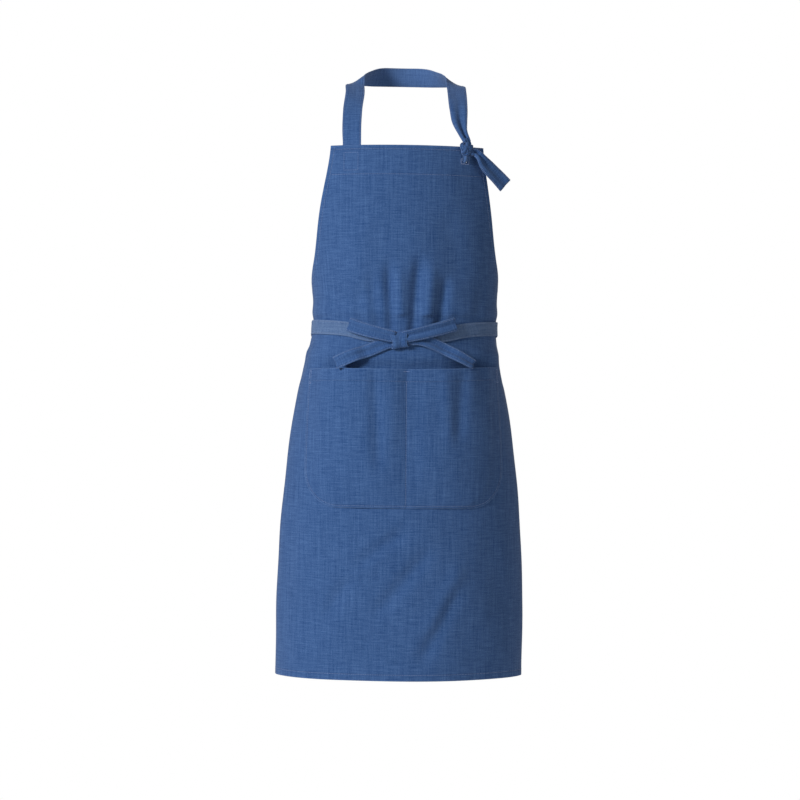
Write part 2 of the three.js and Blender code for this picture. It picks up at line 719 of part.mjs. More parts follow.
add('bow_loop_left', bowLoop(-1, 88, 22), chambray);
add('bow_loop_right', bowLoop(1, 96, 24), chambray);

// A tail leaves the knot behind its loop and stands off the cloth as it passes the pocket's mouth.
function bowTail(sign, points) {
  const root = [bowEdge, BOW_DROP + points[0][1], 5.7, TIE_WIDTH - 12];
  const rest = points.slice(1).map(([out, drop, lift, width]) => [out, BOW_DROP + drop, lift, width]);
  const all = [root, ...rest].map(([out, ...others]) => [bowArc + sign * out, ...others]);
  return band(route(all, 24, TIE_THICK));
}

add('bow_tail_left', bowTail(-1, [
  [0, 5], [32, 10, 5.7, 23], [50, 17, 5.8, 24], [58, 20, 6.3, 24], [73, 26, 14.5, 24], [84, 31, 17, 24],
  [109, 43, 18.5, 23],
]), chambray);
add('bow_tail_right', bowTail(1, [
  [0, -1], [37, -1, 5.7, 21], [56, 5, 5.8, 22], [78, 15, 6, 21], [101, 28, 16, 19], [128, 43, 18.5, 15],
]), chambray);

export default apron;
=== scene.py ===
"""A bib apron in blue chambray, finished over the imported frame.

The cloth pieces lie on the same body shape as the frame's solids. Their shapes are worked out in
millimetres, as drops below the bib's top edge and arc lengths round the body from the front middle, and
become metres in the frame's own axes when a mesh is made.
"""

import math

import bmesh
import bpy
import numpy as np
from mathutils import Matrix, Vector


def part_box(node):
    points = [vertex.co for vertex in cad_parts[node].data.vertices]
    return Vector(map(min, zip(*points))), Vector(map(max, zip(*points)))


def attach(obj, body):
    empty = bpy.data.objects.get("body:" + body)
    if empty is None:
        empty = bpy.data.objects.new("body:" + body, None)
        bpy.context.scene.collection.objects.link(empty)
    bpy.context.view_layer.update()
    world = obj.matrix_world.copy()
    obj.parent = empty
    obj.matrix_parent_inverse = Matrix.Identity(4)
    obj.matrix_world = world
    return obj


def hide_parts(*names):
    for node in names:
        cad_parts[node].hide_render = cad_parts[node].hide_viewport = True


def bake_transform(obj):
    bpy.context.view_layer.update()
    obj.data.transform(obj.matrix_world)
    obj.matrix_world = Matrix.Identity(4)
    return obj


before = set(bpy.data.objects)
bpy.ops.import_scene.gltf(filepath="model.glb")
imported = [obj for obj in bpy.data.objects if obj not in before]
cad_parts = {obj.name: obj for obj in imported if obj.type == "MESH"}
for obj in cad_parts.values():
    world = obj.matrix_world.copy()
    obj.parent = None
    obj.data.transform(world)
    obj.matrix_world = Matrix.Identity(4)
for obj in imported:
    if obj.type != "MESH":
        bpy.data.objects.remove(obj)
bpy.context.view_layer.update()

MM = 0.001

# ---- sizes, as in the frame

LENGTH = 940
BIB_TOP_WIDTH = 284
WAIST_WIDTH = 660
HEM_WIDTH = 800
ARMHOLE_DROP = 300
ARMHOLE_EASE = 10
ARMHOLE_EASE_REACH = 200
CLOTH = 0.9
GAP = 0.3
LAYER = CLOTH + GAP

CHEST = (180, 112)
WAIST = (168, 108)
HIP = (220, 130)
WAIST_DROP = 322
HIP_FLARE = 2.6
HIP_START = 1.3
LEFT_DRAWN_IN = 9
DRAWN_IN_DROP = 290
DRAWN_IN_REACH = 90
DRAWN_IN_SIDE = (60, 150)

HEM = 11
SIDE_HEM = 8
TOP_STITCH = 7
FACING = 54
FACING_ROW = FACING - HEM / 4
TACK = 4.5

STRAP_WIDTH = 34
STRAP_THICK = 1.5
STRAP_SPREAD = 100
STRAP_SEWN = 46
STRAP_SEAM = 2.2
HINGE = (91, -30, 108)
HINGE_LEAN = (0, 0.8, 0.6)
NAPE_DEPTH = 62
NAPE_RISE = 140
NAPE_FLAT = 10

NECK_KNOT = (26, 31, 11)
NECK_KNOT_DROP = 4
NECK_KNOT_SPREAD = 101
NECK_KNOT_LIFT = 1.5
BUTTONHOLE_WIDTH = 14
BUTTONHOLE_HEIGHT = 7
BUTTONHOLE_DROP = 26
# The strap fills its buttonhole, so only a slit of this height shows.
SLIT = 2.4
SLIT_WIDTH = 8.5
HOOK_WIDTH = 13
HOOK_THICK = 2.4
# The gathered cloth that is drawn for the strap's turn and its tail, laid flat.
HOOK_FLAT = 22
TAIL_FLAT = 30

TIE_WIDTH = 25
TIE_THICK = 1.5
TIE_ROOT_DROP = 313
TIE_OVERLAP = 26
TIE_LIFT = 3.2
TIE_STEP = 1.1
BOW_SPREAD = -13
BOW_DROP = 343
BOW_KNOT = (24, 30, 12)
BOW_KNOT_LIFT = 2.9
LOOP_FOLD = 1.6
LOOP_LIFT = 10.8

POCKET_WIDTH = 380
POCKET_DROP = 388
POCKET_HEIGHT = 250
POCKET_CORNER = 72
POCKET_GAPE = 11
POCKET_HEM = 23
POCKET_HEM_THICK = 0.35
POCKET_DROOP = 6
MOUTH_HOLLOW = 5
MOUTH_HOLLOW_DROP = POCKET_DROP + 5
MOUTH_HOLLOW_REACH = 12
MOUTH_HOLLOW_SIDE = (140, 184)
# Where the pocket's round corners start, down and across.
POCKET_BEND = POCKET_DROP + POCKET_HEIGHT - POCKET_CORNER
POCKET_FLAT = POCKET_WIDTH / 2 - POCKET_CORNER
# Where the pocket was cut from the cloth, so that its weave doesn't repeat the panel's.
POCKET_ALONG = 1300
POCKET_ROW = POCKET_DROP + POCKET_HEM

# The body shape's axis, and the bib's top edge, in the frame.
BIB_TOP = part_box("bib_panel")[1].z
AXIS_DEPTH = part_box("neck_strap")[1].y - (NAPE_DEPTH + STRAP_THICK / 2) * MM
FLOOR_BELOW_HEM = 480 * MM


# ---- the body shape

def mix(low, high, share):
    return low + (high - low) * share


def smoothstep(low, high, value):
    share = np.clip((np.asarray(value, float) - low) / (high - low), 0, 1)
    return share * share * (3 - 2 * share)


def hump(value, middle, reach):
    """One at the middle, fading smoothly to none either side."""
    return np.exp(-(((value - middle) / reach) ** 2))


def section(drop):
    """Half-width and half-depth of the body's oval section at each drop."""
    drop = np.clip(np.asarray(drop, float), 0, LENGTH)
    upper = 0.5 - 0.5 * np.cos(np.pi * np.minimum(drop, WAIST_DROP) / WAIST_DROP)
    below = np.clip((drop - WAIST_DROP) / (LENGTH - WAIST_DROP), 0, 1)
    lower = (1 - (1 - below) ** HIP_FLARE) ** HIP_START
    size = []
    for chest, waist, hip in zip(CHEST, WAIST, HIP):
        size.append(np.where(drop <= WAIST_DROP, mix(chest, waist, upper), mix(waist, hip, lower)))
    return size


ARC_STEP = 2.0
ARC_MOST = 1400
TABLE_STEP = 4.0


def turn_table():
    """Angles round the section for arc lengths at every ARC_STEP, one row for each TABLE_STEP of drop."""
    arcs = np.arange(0, ARC_MOST + ARC_STEP, ARC_STEP)
    turns = np.linspace(0, 2 * np.pi, 1441)
    middles = (turns[1:] + turns[:-1]) / 2
    rows = []
    for drop in np.arange(0, LENGTH + TABLE_STEP, TABLE_STEP):
        a, b = section(drop)
        pieces = np.hypot(a * np.cos(middles), b * np.sin(middles)) * (turns[1] - turns[0])
        rows.append(np.interp(arcs, np.concatenate([[0], np.cumsum(pieces)]), turns))
    return np.array(rows)


TURNS = turn_table()


def angle_at(drop, arc):
    row = np.clip(np.asarray(drop, float), 0, LENGTH) / TABLE_STEP
    column = np.clip(np.abs(arc), 0, ARC_MOST - ARC_STEP) / ARC_STEP
    i = np.minimum(row.astype(int), len(TURNS) - 2)
    j = np.minimum(column.astype(int), TURNS.shape[1] - 2)
    down = row - i
    along = column - j
    upper = mix(TURNS[i, j], TURNS[i, j + 1], along)
    lower = mix(TURNS[i + 1, j], TURNS[i + 1, j + 1], along)
    return np.sign(arc) * mix(upper, lower, down)


def on_body(drop, arc):
    """Places on the body shape, which the ties draw in a little further on the left of the waist."""
    drop, arc = np.broadcast_arrays(np.asarray(drop, float), np.asarray(arc, float))
    a, b = section(drop)
    turn = angle_at(drop, arc)
    x = a * np.sin(turn)
    drawn_in = LEFT_DRAWN_IN * hump(drop, DRAWN_IN_DROP, DRAWN_IN_REACH) * smoothstep(*DRAWN_IN_SIDE, -x)
    return np.stack([x + drawn_in, -b * np.cos(turn), -drop], -1)


def unit(vectors):
    vectors = np.asarray(vectors, float)
    return vectors / np.maximum(np.linalg.norm(vectors, axis=-1, keepdims=True), 1e-9)


def outward(drop, arc):
    drop = np.asarray(drop, float)
    arc = np.asarray(arc, float)
    across = on_body(drop, arc + 1) - on_body(drop, arc - 1)
    up = on_body(drop - 1, arc) - on_body(drop + 1, arc)
    return unit(np.cross(across, up))


def place(drop, arc, lift):
    lift = np.asarray(lift, float)
    return on_body(drop, arc) + outward(drop, arc) * lift[..., None]


def arc_to(drop, sideways):
    """Arc length from the front middle to where the section reaches a sideways distance."""
    a, b = section(drop)
    steps = 60
    step = math.asin(sideways / a) / steps
    turns = (np.arange(steps) + 0.5) * step
    return float(np.sum(np.hypot(a * np.cos(turns), b * np.sin(turns))) * step)


def half_round(drop):
    """Half the section's length round, by Ramanujan's sum."""
    a, b = section(drop)
    flatness = ((a - b) / (a + b)) ** 2
    return float(math.pi / 2 * (a + b) * (1 + 3 * flatness / (10 + math.sqrt(4 - 3 * flatness))))


def armhole_ease(drop):
    """How far the armhole's edge relaxes outwards from its quarter round, most in its upper half."""
    share = np.clip(np.asarray(drop, float) / ARMHOLE_EASE_REACH, 0, 1)
    return ARMHOLE_EASE * np.sin(np.pi * share) ** 1.3


def panel_half(drop):
    """Half-width of the flat panel: a quarter-round armhole, then straight sides."""
    drop = np.asarray(drop, float)
    turn = np.arcsin(np.clip(drop / ARMHOLE_DROP, 0, 1))
    armhole = (WAIST_WIDTH - (WAIST_WIDTH - BIB_TOP_WIDTH) * np.cos(turn)) / 2 + armhole_ease(drop)
    side = mix(WAIST_WIDTH, HEM_WIDTH, (drop - ARMHOLE_DROP) / (LENGTH - ARMHOLE_DROP)) / 2
    return np.where(drop < ARMHOLE_DROP, armhole, side)


# ---- how the cloth hangs

# Soft folds: the drop and arc where each starts and ends, its half-width, and how far it stands out
# (or sinks in, where that is negative).
FOLDS = [
    ((205, -34), (342, -25), 9.5, -7.8),
    ((215, -14), (336, -10), 9, 3.2),
    ((196, 21), (340, 11), 10.5, -7.6),
    ((205, 46), (336, 33), 11, 4.6),
    ((230, 71), (336, 54), 10, -6.6),
    ((225, -66), (334, -48), 11, -4.2),
    ((252, -92), (330, -78), 10, -2.6),
    ((120, -80), (255, -96), 26, 2.4),
    ((110, 70), (240, 92), 24, -2.2),
    ((384, -56), (570, -48), 11, -4.2),
    ((390, -18), (530, -26), 14, 1.8),
    ((386, 64), (530, 76), 12, 2.6),
    ((386, 98), (520, 92), 12, -3.6),
    ((392, 16), (600, 12), 16, -1.8),
    ((672, 4), (748, -90), 13, -4.4),
    ((748, -90), (830, -142), 13, -4.0),
    ((700, -20), (770, -112), 12, 2.4),
    ((708, 46), (824, -50), 14, -4.4),
    ((735, 104), (860, 40), 15, 3.6),
    ((770, 98), (905, 30), 13, -4.4),
    ((640, -150), (800, -215), 26, 1.8),
    ((650, 150), (830, 196), 26, -1.6),
    ((352, -110), (420, -150), 13, -1.6),
    ((352, 104), (420, 150), 13, -1.8),
    ((352, -240), (LENGTH, -262), 22, 3.4),
    ((360, -296), (LENGTH, -330), 20, -3.6),
    ((352, 240), (LENGTH, 262), 22, 3.0),
    ((360, 296), (LENGTH, 330), 20, -3.6),
    ((336, -204), (420, -236), 10, -2.4),
    ((336, 204), (420, 236), 10, -2.4),
    ((236, -150), (316, -128), 12, -1.8),
    ((240, 152), (316, 126), 12, -1.8),
]
# The cloth blouses above and below the ties: the drop, how far that reaches, and how far it stands out.
BLOUSING = [(292, 13, 2.2), (366, 12, 1.6)]
# Between these drops the ties press the cloth nearly flat.
TIED_FROM = (296, 306)
TIED_TO = (350, 362)
TIED_FLAT = 0.93


def folds(drop, arc):
    """How far the cloth stands off the body shape, in mm."""
    drop, arc = np.broadcast_arrays(np.asarray(drop, float), np.asarray(arc, float))
    total = np.zeros(drop.shape)
    for start, end, wide, high in FOLDS:
        run = np.hypot(end[0] - start[0], end[1] - start[1])
        down = (end[0] - start[0]) / run
        over = (end[1] - start[1]) / run
        along = (drop - start[0]) * down + (arc - start[1]) * over
        aside = (drop - start[0]) * over - (arc - start[1]) * down
        ends = smoothstep(-0.12, 0.3, along / run) * (1 - smoothstep(0.8, 1.12, along / run))
        total += high * ends * hump(aside, 0, wide)
    for level, reach, high in BLOUSING:
        total += high * hump(drop, level, reach)
    # Slow unevenness, and shallow waves that grow towards the hem.
    total += 0.7 * np.sin(drop / 61 + arc / 47) * np.sin(arc / 83 - drop / 140 + 1.3)
    total += 0.5 * np.sin(drop / 23 - arc / 71 + 0.4) * np.sin(arc / 31 + drop / 190)
    hem = smoothstep(600, LENGTH, drop)
    total += hem * (2.6 * np.sin(arc / 58 + 0.9) + 1.6 * np.sin(arc / 33 + drop / 150))
    tied = smoothstep(*TIED_FROM, drop) * (1 - smoothstep(*TIED_TO, drop))
    return np.where(total > 0, total * (1 - TIED_FLAT * tied), total)


def armhole_distance(drop, arc):
    """Flat distance in from the armhole's quarter-round edge."""
    wide = (WAIST_WIDTH - BIB_TOP_WIDTH) / 2
    x = np.maximum(WAIST_WIDTH / 2 + armhole_ease(drop) - np.abs(arc), 0) / wide
    y = np.asarray(drop, float) / ARMHOLE_DROP
    ring = np.maximum(np.hypot(x, y), 1e-6)
    slope = np.hypot(x / wide, y / ARMHOLE_DROP) / ring
    return (ring - 1) / slope


def panel_edge(drop, arc):
    """Flat distance in from the panel's nearest edge."""
    side = panel_half(np.maximum(drop, ARMHOLE_DROP)) - np.abs(arc)
    round_edge = armhole_distance(drop, arc)
    upper = np.minimum(round_edge, drop)
    lower = np.minimum(np.minimum(side, LENGTH - drop), np.where(drop < ARMHOLE_DROP + 60, round_edge, 1e3))
    return np.maximum(np.where(drop < ARMHOLE_DROP, np.minimum(upper, np.maximum(side, 0)), lower), 0)


def pocket_half(drop):
    below = np.maximum(np.asarray(drop, float) - POCKET_BEND, 0)
    return POCKET_FLAT + np.sqrt(np.maximum(POCKET_CORNER ** 2 - below ** 2, 0))


def pocket_lift(drop, arc):
    """How far the pocket's inner face stands off the body shape, before the folds."""
    across = np.minimum(2 * np.abs(arc) / POCKET_WIDTH, 1)
    down = np.clip((drop - POCKET_DROP) / POCKET_HEIGHT, 0, 1)
    inset = np.clip((pocket_half(drop) - np.abs(arc)) / (POCKET_CORNER / 2), 0, 1)
    return LAYER + POCKET_GAPE * np.sin(np.pi * across) ** 0.8 * (1 - down) ** 0.35 * inset


def pocket_sag(drop, arc):
    """How far the pocket's mouth droops, most at its left and middle, fading out below."""
    below = np.clip((np.asarray(drop, float) - POCKET_DROP) / POCKET_HEIGHT, 0, 1)
    return POCKET_DROOP * (1 - smoothstep(40, POCKET_WIDTH / 2, arc)) * (1 - below) ** 2


def pocket_edge(drop, arc):
    across = np.maximum(np.abs(arc) - POCKET_FLAT, 0)
    down = np.maximum(drop - POCKET_BEND, 0)
    return np.clip(POCKET_CORNER - np.hypot(across, down), 0, 100)


# ---- colours and materials

def tone(code):
    """A colour code such as 3d5f94, as linear red, green and blue."""
    channels = [int(code[i:i + 2], 16) / 255 for i in (0, 2, 4)]
    linear = [c / 12.92 if c <= 0.04045 else ((c + 0.055) / 1.055) ** 2.4 for c in channels]
    return (*linear, 1)


def node(tree, kind, inputs=None, **settings):
    """Adds a node, sets its properties, then its inputs: a socket is linked and anything else is a value."""
    made = tree.nodes.new(kind)
    for name, value in settings.items():
        setattr(made, name, value)
    for name, value in (inputs or {}).items():
        if isinstance(value, bpy.types.NodeSocket):
            tree.links.new(value, made.inputs[name])
        else:
            made.inputs[name].default_value = value
    return made


def maths(tree, operation, first, second=0.0, clamp=False):
    made = node(tree, "ShaderNodeMath", {0: first, 1: second}, operation=operation, use_clamp=clamp)
    return made.outputs[0]


def stretched(tree, source, across, along):
    """Cloth coordinates in metres, multiplied by a number of turns a metre each way."""
    made = node(tree, "ShaderNodeMapping", {"Vector": source, "Scale": (across, along, 1)})
    return made.outputs[0]


def noise(tree, vector, detail=2.0, roughness=0.5):
    made = node(tree, "ShaderNodeTexNoise", {"Vector": vector, "Scale": 1.0, "Detail": detail,
                                            "Roughness": roughness})
    return made.outputs["Fac"]


def blended(tree, share, first, second, way="MIX"):
    made = node(tree, "ShaderNodeMix", {0: share, 6: first, 7: second}, data_type="RGBA", blend_type=way)
    return made.outputs[2]


def carried(tree, label):
    """A value that the mesh carries at its points."""
    return node(tree, "ShaderNodeAttribute", attribute_name=label).outputs["Fac"]


def fading(tree, value, reach, most):
    """The most where the value is nothing, falling to none at its reach."""
    made = node(tree, "ShaderNodeMapRange", {"Value": value, "From Min": 0.0, "From Max": reach,
                                            "To Min": most, "To Max": 0.0})
    return made.outputs[0]


def surface(name, roughness, sheen, specular):
    made = bpy.data.materials.new(name)
    made.use_nodes = True
    tree = made.node_tree
    tree.nodes.clear()
    shader = node(tree, "ShaderNodeBsdfPrincipled", {"Roughness": roughness, "Sheen Weight": sheen,
                                                    "Sheen Roughness": 0.55, "Specular IOR Level": specular})
    node(tree, "ShaderNodeOutputMaterial", {"Surface": shader.outputs[0]})
    return made, tree, shader


def chambray(name, warp, weft, weft_share, worn):
    """Plain-weave cotton: a blue warp crossed by a pale weft, with slubs, hem ridges, worn edges and painted
    shade along the stitch grooves.
    """
    made, tree, shader = surface(name, 0.88, 0.15, 0.15)
    cloth = node(tree, "ShaderNodeUVMap", uv_map="cloth").outputs[0]
    parts = node(tree, "ShaderNodeSeparateXYZ", {0: cloth})
    # The real threads are about 0.4 mm apart. They are drawn at 1.1 mm, or they would be too fine to show.
    pitch = 0.0011
    over = maths(tree, "SINE", maths(tree, "MULTIPLY", parts.outputs[0], math.pi / pitch))
    under = maths(tree, "SINE", maths(tree, "MULTIPLY", parts.outputs[1], math.pi / pitch))
    weave = maths(tree, "MULTIPLY_ADD", maths(tree, "MULTIPLY", over, under), 0.5)
    weave.node.inputs[2].default_value = 0.5
    # Uneven yarn: short thick places along single threads, both ways.
    warp_slub = noise(tree, stretched(tree, cloth, 900, 22), 3.0, 0.6)
    weft_slub = noise(tree, stretched(tree, cloth, 30, 1000), 3.0, 0.6)
    # Broader heathering, coarser than single yarns so that it still reads from across a room.
    warp_band = noise(tree, stretched(tree, cloth, 260, 9), 2.0, 0.55)
    weft_band = noise(tree, stretched(tree, cloth, 34, 420), 2.0, 0.55)
    fleck = noise(tree, stretched(tree, cloth, 420, 420), 2.0, 0.6)
    cover = maths(tree, "MULTIPLY", weave, 2 * weft_share)
    for source, strength in ((weft_slub, 0.6), (warp_slub, -0.5), (weft_band, 0.42), (warp_band, -0.34),
                             (fleck, 0.4)):
        shifted = maths(tree, "MULTIPLY", maths(tree, "SUBTRACT", source, 0.5), strength)
        cover = maths(tree, "ADD", cover, shifted)
    cover = maths(tree, "ADD", cover, 0.0, clamp=True)
    colour = blended(tree, cover, tone(warp), tone(weft))
    # Washed edges: the folded edges and the ridges beside the stitching are a little paler.
    seam = carried(tree, "seam")
    rubbed = fading(tree, carried(tree, "edge"), 0.0022, 0.5)
    patchy = maths(tree, "MULTIPLY", rubbed, noise(tree, stretched(tree, cloth, 160, 160), 2.0))
    colour = blended(tree, patchy, colour, tone(worn))
    # Painted shade: the cloth is darkened towards a deep navy along the stitch lines, for the shade in their
    # grooves; the same mask also sinks the groove in the relief.
    groove_and_painted_shade = fading(tree, seam, 0.0018, 0.14)
    colour = blended(tree, groove_and_painted_shade, colour, tone("16294a"))
    colour = blended(tree, maths(tree, "MULTIPLY", carried(tree, "wrong_side"), 0.22), colour, tone(worn))
    tree.links.new(colour, shader.inputs["Base Color"])
    # Relief: threads, slubs, puckers beside the seams and the slight crumple of washed cotton.
    near = fading(tree, seam, 0.016, 1.0)
    pucker = maths(tree, "MULTIPLY", noise(tree, stretched(tree, cloth, 130, 130), 1.0), near)
    crumple = noise(tree, stretched(tree, cloth, 17, 12), 3.0, 0.5)
    stepped = maths(tree, "MULTIPLY", groove_and_painted_shade, -5.0)
    coarse = maths(tree, "ADD", maths(tree, "MULTIPLY", pucker, 0.9), maths(tree, "MULTIPLY", crumple, 3.2))
    coarse = maths(tree, "ADD", coarse, stepped)
    soft = node(tree, "ShaderNodeBump", {"Height": coarse, "Strength": 0.55, "Distance": 0.0011})
    fine = maths(tree, "ADD", weave, maths(tree, "ADD", weft_slub, warp_slub))
    threads = node(tree, "ShaderNodeBump", {"Height": fine, "Strength": 0.3, "Distance": 0.00022,
                                           "Normal": soft.outputs[0]})
    tree.links.new(threads.outputs[0], shader.inputs["Normal"])
    return made


def sewing_thread():
    """Twisted polyester thread, paler than the cloth."""
    made, tree, shader = surface("sewing_thread", 0.62, 0.1, 0.35)
    where = node(tree, "ShaderNodeTexCoord").outputs["Object"]
    ply = noise(tree, stretched(tree, where, 2600, 900), 2.0)
    colour = blended(tree, ply, tone("6c86bf"), tone("a3b5dc"))
    tree.links.new(colour, shader.inputs["Base Color"])
    bump = node(tree, "ShaderNodeBump", {"Height": ply, "Strength": 0.4, "Distance": 0.0001})
    tree.links.new(bump.outputs[0], shader.inputs["Normal"])
    return made


def studio_floor():
    made, tree, shader = surface("studio_floor", 0.9, 0.0, 0.1)
    where = node(tree, "ShaderNodeTexCoord").outputs["Object"]
    colour = blended(tree, noise(tree, where, 2.0), tone("f6f6f4"), tone("fafaf8"))
    tree.links.new(colour, shader.inputs["Base Color"])
    return made


CHAMBRAY = chambray("chambray", "143e76", "6a90c8", 0.29, "7595c8")
FACING_CLOTH = chambray("chambray_facing", "184279", "7698cc", 0.33, "7f9dce")
TIE_CLOTH = chambray("chambray_ties", "26497a", "86a2cc", 0.36, "8aa5d0")
THREAD = sewing_thread()


# ---- making cloth meshes

def in_frame(points):
    """Millimetres about the body's axis, as metres in the frame."""
    return np.asarray(points, float) * MM + np.array([0, AXIS_DEPTH, BIB_TOP])


def linked(name, data):
    made = bpy.data.objects.new(name, data)
    bpy.context.scene.collection.objects.link(made)
    return made


def piece(name, mesh, material):
    mesh.materials.append(material)
    return linked(name, mesh)


def signed_volume(points, faces):
    total = 0.0
    for face in faces:
        a = points[face[0]]
        for b, c in zip(face[1:-1], face[2:]):
            total += np.dot(a, np.cross(points[b], points[c]))
    return total


def cloth_piece(name, inner, outer, flat, material, keep=None, ring=False, edge=None, seam=None):
    """A closed sheet between two grids of points (rows, columns, 3), with the flat cloth's own
    coordinates as its UV map. keep marks the cells that have cloth. A ring's last row joins its first."""
    rows, columns = inner.shape[:2]
    cells = rows if ring else rows - 1
    if keep is None:
        keep = np.ones((cells, columns - 1), bool)
    layer = rows * columns
    points = np.concatenate([in_frame(inner).reshape(-1, 3), in_frame(outer).reshape(-1, 3)])
    faces = []
    corners = []
    walls = set()
    for i, j in zip(*np.nonzero(keep)):
        k = (i + 1) % rows
        quad = [i * columns + j, i * columns + j + 1, k * columns + j + 1, k * columns + j]
        spots = [(i, j), (i, j + 1), (i + 1, j + 1), (i + 1, j)]
        faces.append(quad)
        corners.append(spots)
        faces.append([q + layer for q in reversed(quad)])
        corners.append(spots[::-1])
        for a, b in zip(quad, quad[1:] + quad[:1]):
            if (b, a) in walls:
                walls.discard((b, a))
            else:
                walls.add((a, b))
    surface_faces = len(faces)
    for a, b in sorted(walls):
        faces.append([b, a, a + layer, b + layer])
        corners.append([divmod(p % layer, columns) for p in (b, a, a, b)])
    if signed_volume(points, faces) < 0:
        faces = [face[::-1] for face in faces]
        corners = [spots[::-1] for spots in corners]
    used = np.unique(np.array([p for face in faces for p in face]))
    renumber = np.full(len(points), -1)
    renumber[used] = np.arange(len(used))
    mesh = bpy.data.meshes.new(name)
    mesh.from_pydata(points[used].tolist(), [], [[int(renumber[p]) for p in face] for face in faces])
    smooth = np.arange(len(faces)) < surface_faces
    mesh.polygons.foreach_set("use_smooth", smooth)
    table = np.asarray(flat, float) * MM
    spots = np.array([spot for run in corners for spot in run])
    coordinates = table[np.minimum(spots[:, 0], len(table) - 1), spots[:, 1]]
    mesh.uv_layers.new(name="cloth").data.foreach_set("uv", coordinates.astype(np.float32).ravel())
    side = np.concatenate([np.ones(layer), np.zeros(layer)])
    far = np.full((rows, columns), 0.05)
    for label, values in (("edge", edge), ("seam", seam)):
        grid = far if values is None else np.asarray(values, float) * MM
        add_values(mesh, label, np.concatenate([grid.ravel(), grid.ravel()])[used])
    add_values(mesh, "wrong_side", side[used])
    mesh.validate()
    return piece(name, mesh, material)


def add_values(mesh, label, values):
    mesh.attributes.new(label, "FLOAT", "POINT").data.foreach_set("value", values.astype(np.float32))


def grid_normals(points, ring=False):
    """Unit normals of a grid of points, from its rows and columns."""
    if ring:
        down = np.roll(points, -1, 0) - np.roll(points, 1, 0)
    else:
        down = np.gradient(points, axis=0)
    across = np.gradient(points, axis=1)
    return unit(np.cross(across, down))


# ---- straps and ties

def smooth_run(rows, step):
    """Rows of numbers whose first three are a place, with smooth in-between rows about a step apart."""
    rows = np.asarray(rows, float)
    spans = np.maximum(np.linalg.norm(np.diff(rows[:, :3], axis=0), axis=1), 1e-6)
    at = np.concatenate([[0], np.cumsum(spans)])
    slopes = np.gradient(rows, at, axis=0)
    result = []
    for i, span in enumerate(spans):
        count = max(int(round(span / step)), 1)
        for share in np.arange(count) / count:
            square, cube = share ** 2, share ** 3
            at_ends = rows[i] * (2 * cube - 3 * square + 1) + rows[i + 1] * (3 * square - 2 * cube)
            bending = slopes[i] * (cube - 2 * square + share) + slopes[i + 1] * (cube - square)
            result.append(at_ends + bending * span)
    result.append(rows[-1])
    return np.array(result)


def ribbon_columns(width):
    """Distances across half a sewn strap, from its middle to its edge: a row of stitches lies near it."""
    half = width / 2
    inner = np.linspace(0, half - 2 * STRAP_SEAM, 4)
    return np.concatenate([inner, [half - STRAP_SEAM, half - 0.7, half]])


def ribbon(name, stations, material=None, flat_width=TIE_WIDTH, pleats=1.5, ring=False, crumple=0.0,
           pleat_limit=9.0):
    """A sewn strap through stations [place, outward, width, thickness]. Where a station is narrower than
    the flat strap the cloth is pleated, so that it keeps its own width."""
    stations = np.asarray(stations, float)
    at, out, width, thick = stations[:, :3], stations[:, 3:6], stations[:, 6], stations[:, 7]
    if ring:
        along = unit(np.roll(at, -1, 0) - np.roll(at, 1, 0))
    else:
        along = unit(np.gradient(at, axis=0))
    side = unit(np.cross(along, out))
    out = np.cross(side, along)
    half = ribbon_columns(flat_width) / (flat_width / 2)
    shares = np.concatenate([-half[:0:-1], half])
    # Columns keep their flat spacing; a pleat's height makes up for the width that the strap lost.
    lost = np.clip(flat_width / np.maximum(width, 1) - 1, 0, 4)
    waves = 2 * math.pi * pleats
    high = np.minimum(np.minimum(width / waves * 2 * np.sqrt(lost), 0.3 * width + 0.4), pleat_limit)
    wave = np.sin(waves * (shares[None] + 1) / 2 + 0.6)
    height = high[:, None] * wave * (1 - 0.35 * np.abs(shares[None]))
    length = np.concatenate([[0], np.cumsum(np.linalg.norm(np.diff(at, axis=0), axis=1))])
    ripple = np.sin(length[:, None] / 9.5 + 2.1 * shares[None])
    height = height + crumple * (ripple * np.sin(length[:, None] / 23 + 1 + shares[None]))
    centre = at[:, None] + side[:, None] * (shares[None, :, None] * width[:, None, None] / 2)
    centre = centre + out[:, None] * height[:, :, None]
    normals = grid_normals(centre, ring)
    facing_in = np.sum(normals * out[:, None], -1, keepdims=True) < 0
    normals = np.where(facing_in, -normals, normals)
    body = thick[:, None, None] / 2 * (1 - 0.4 * np.abs(shares[None, :, None]) ** 16)
    outer = centre + normals * body
    inner = centre - normals * body
    flat = np.stack(np.broadcast_arrays(shares[None] * flat_width / 2, length[:, None]), -1)
    edge = np.broadcast_to((1 - np.abs(shares[None])) * flat_width / 2, centre.shape[:2])
    seam = np.abs(edge - STRAP_SEAM)
    if ring:
        flat = np.concatenate([flat, flat[-1:] + np.array([0, 3.0])])
    made = cloth_piece(name, inner, outer, flat, material or CHAMBRAY, ring=ring, edge=edge, seam=seam)
    rows = []
    if not ring:
        for column in (2, len(shares) - 3):
            rows.append((outer[:, column], normals[:, column], False))
    return made, rows, float(length[-1])


def on_cloth(points, step):
    """Stations over the body shape through [arc, drop, lift, width] points."""
    run = smooth_run(points, step)
    arc, drop, lift, width = run.T
    return np.concatenate([place(drop, arc, lift), outward(drop, arc), width[:, None],
                           np.full((len(run), 1), TIE_THICK)], 1)


# ---- stitches

# How far a stitch turns off its row either way, in radians.
STITCH_WANDER = 0.07
STITCH_SEED = 3


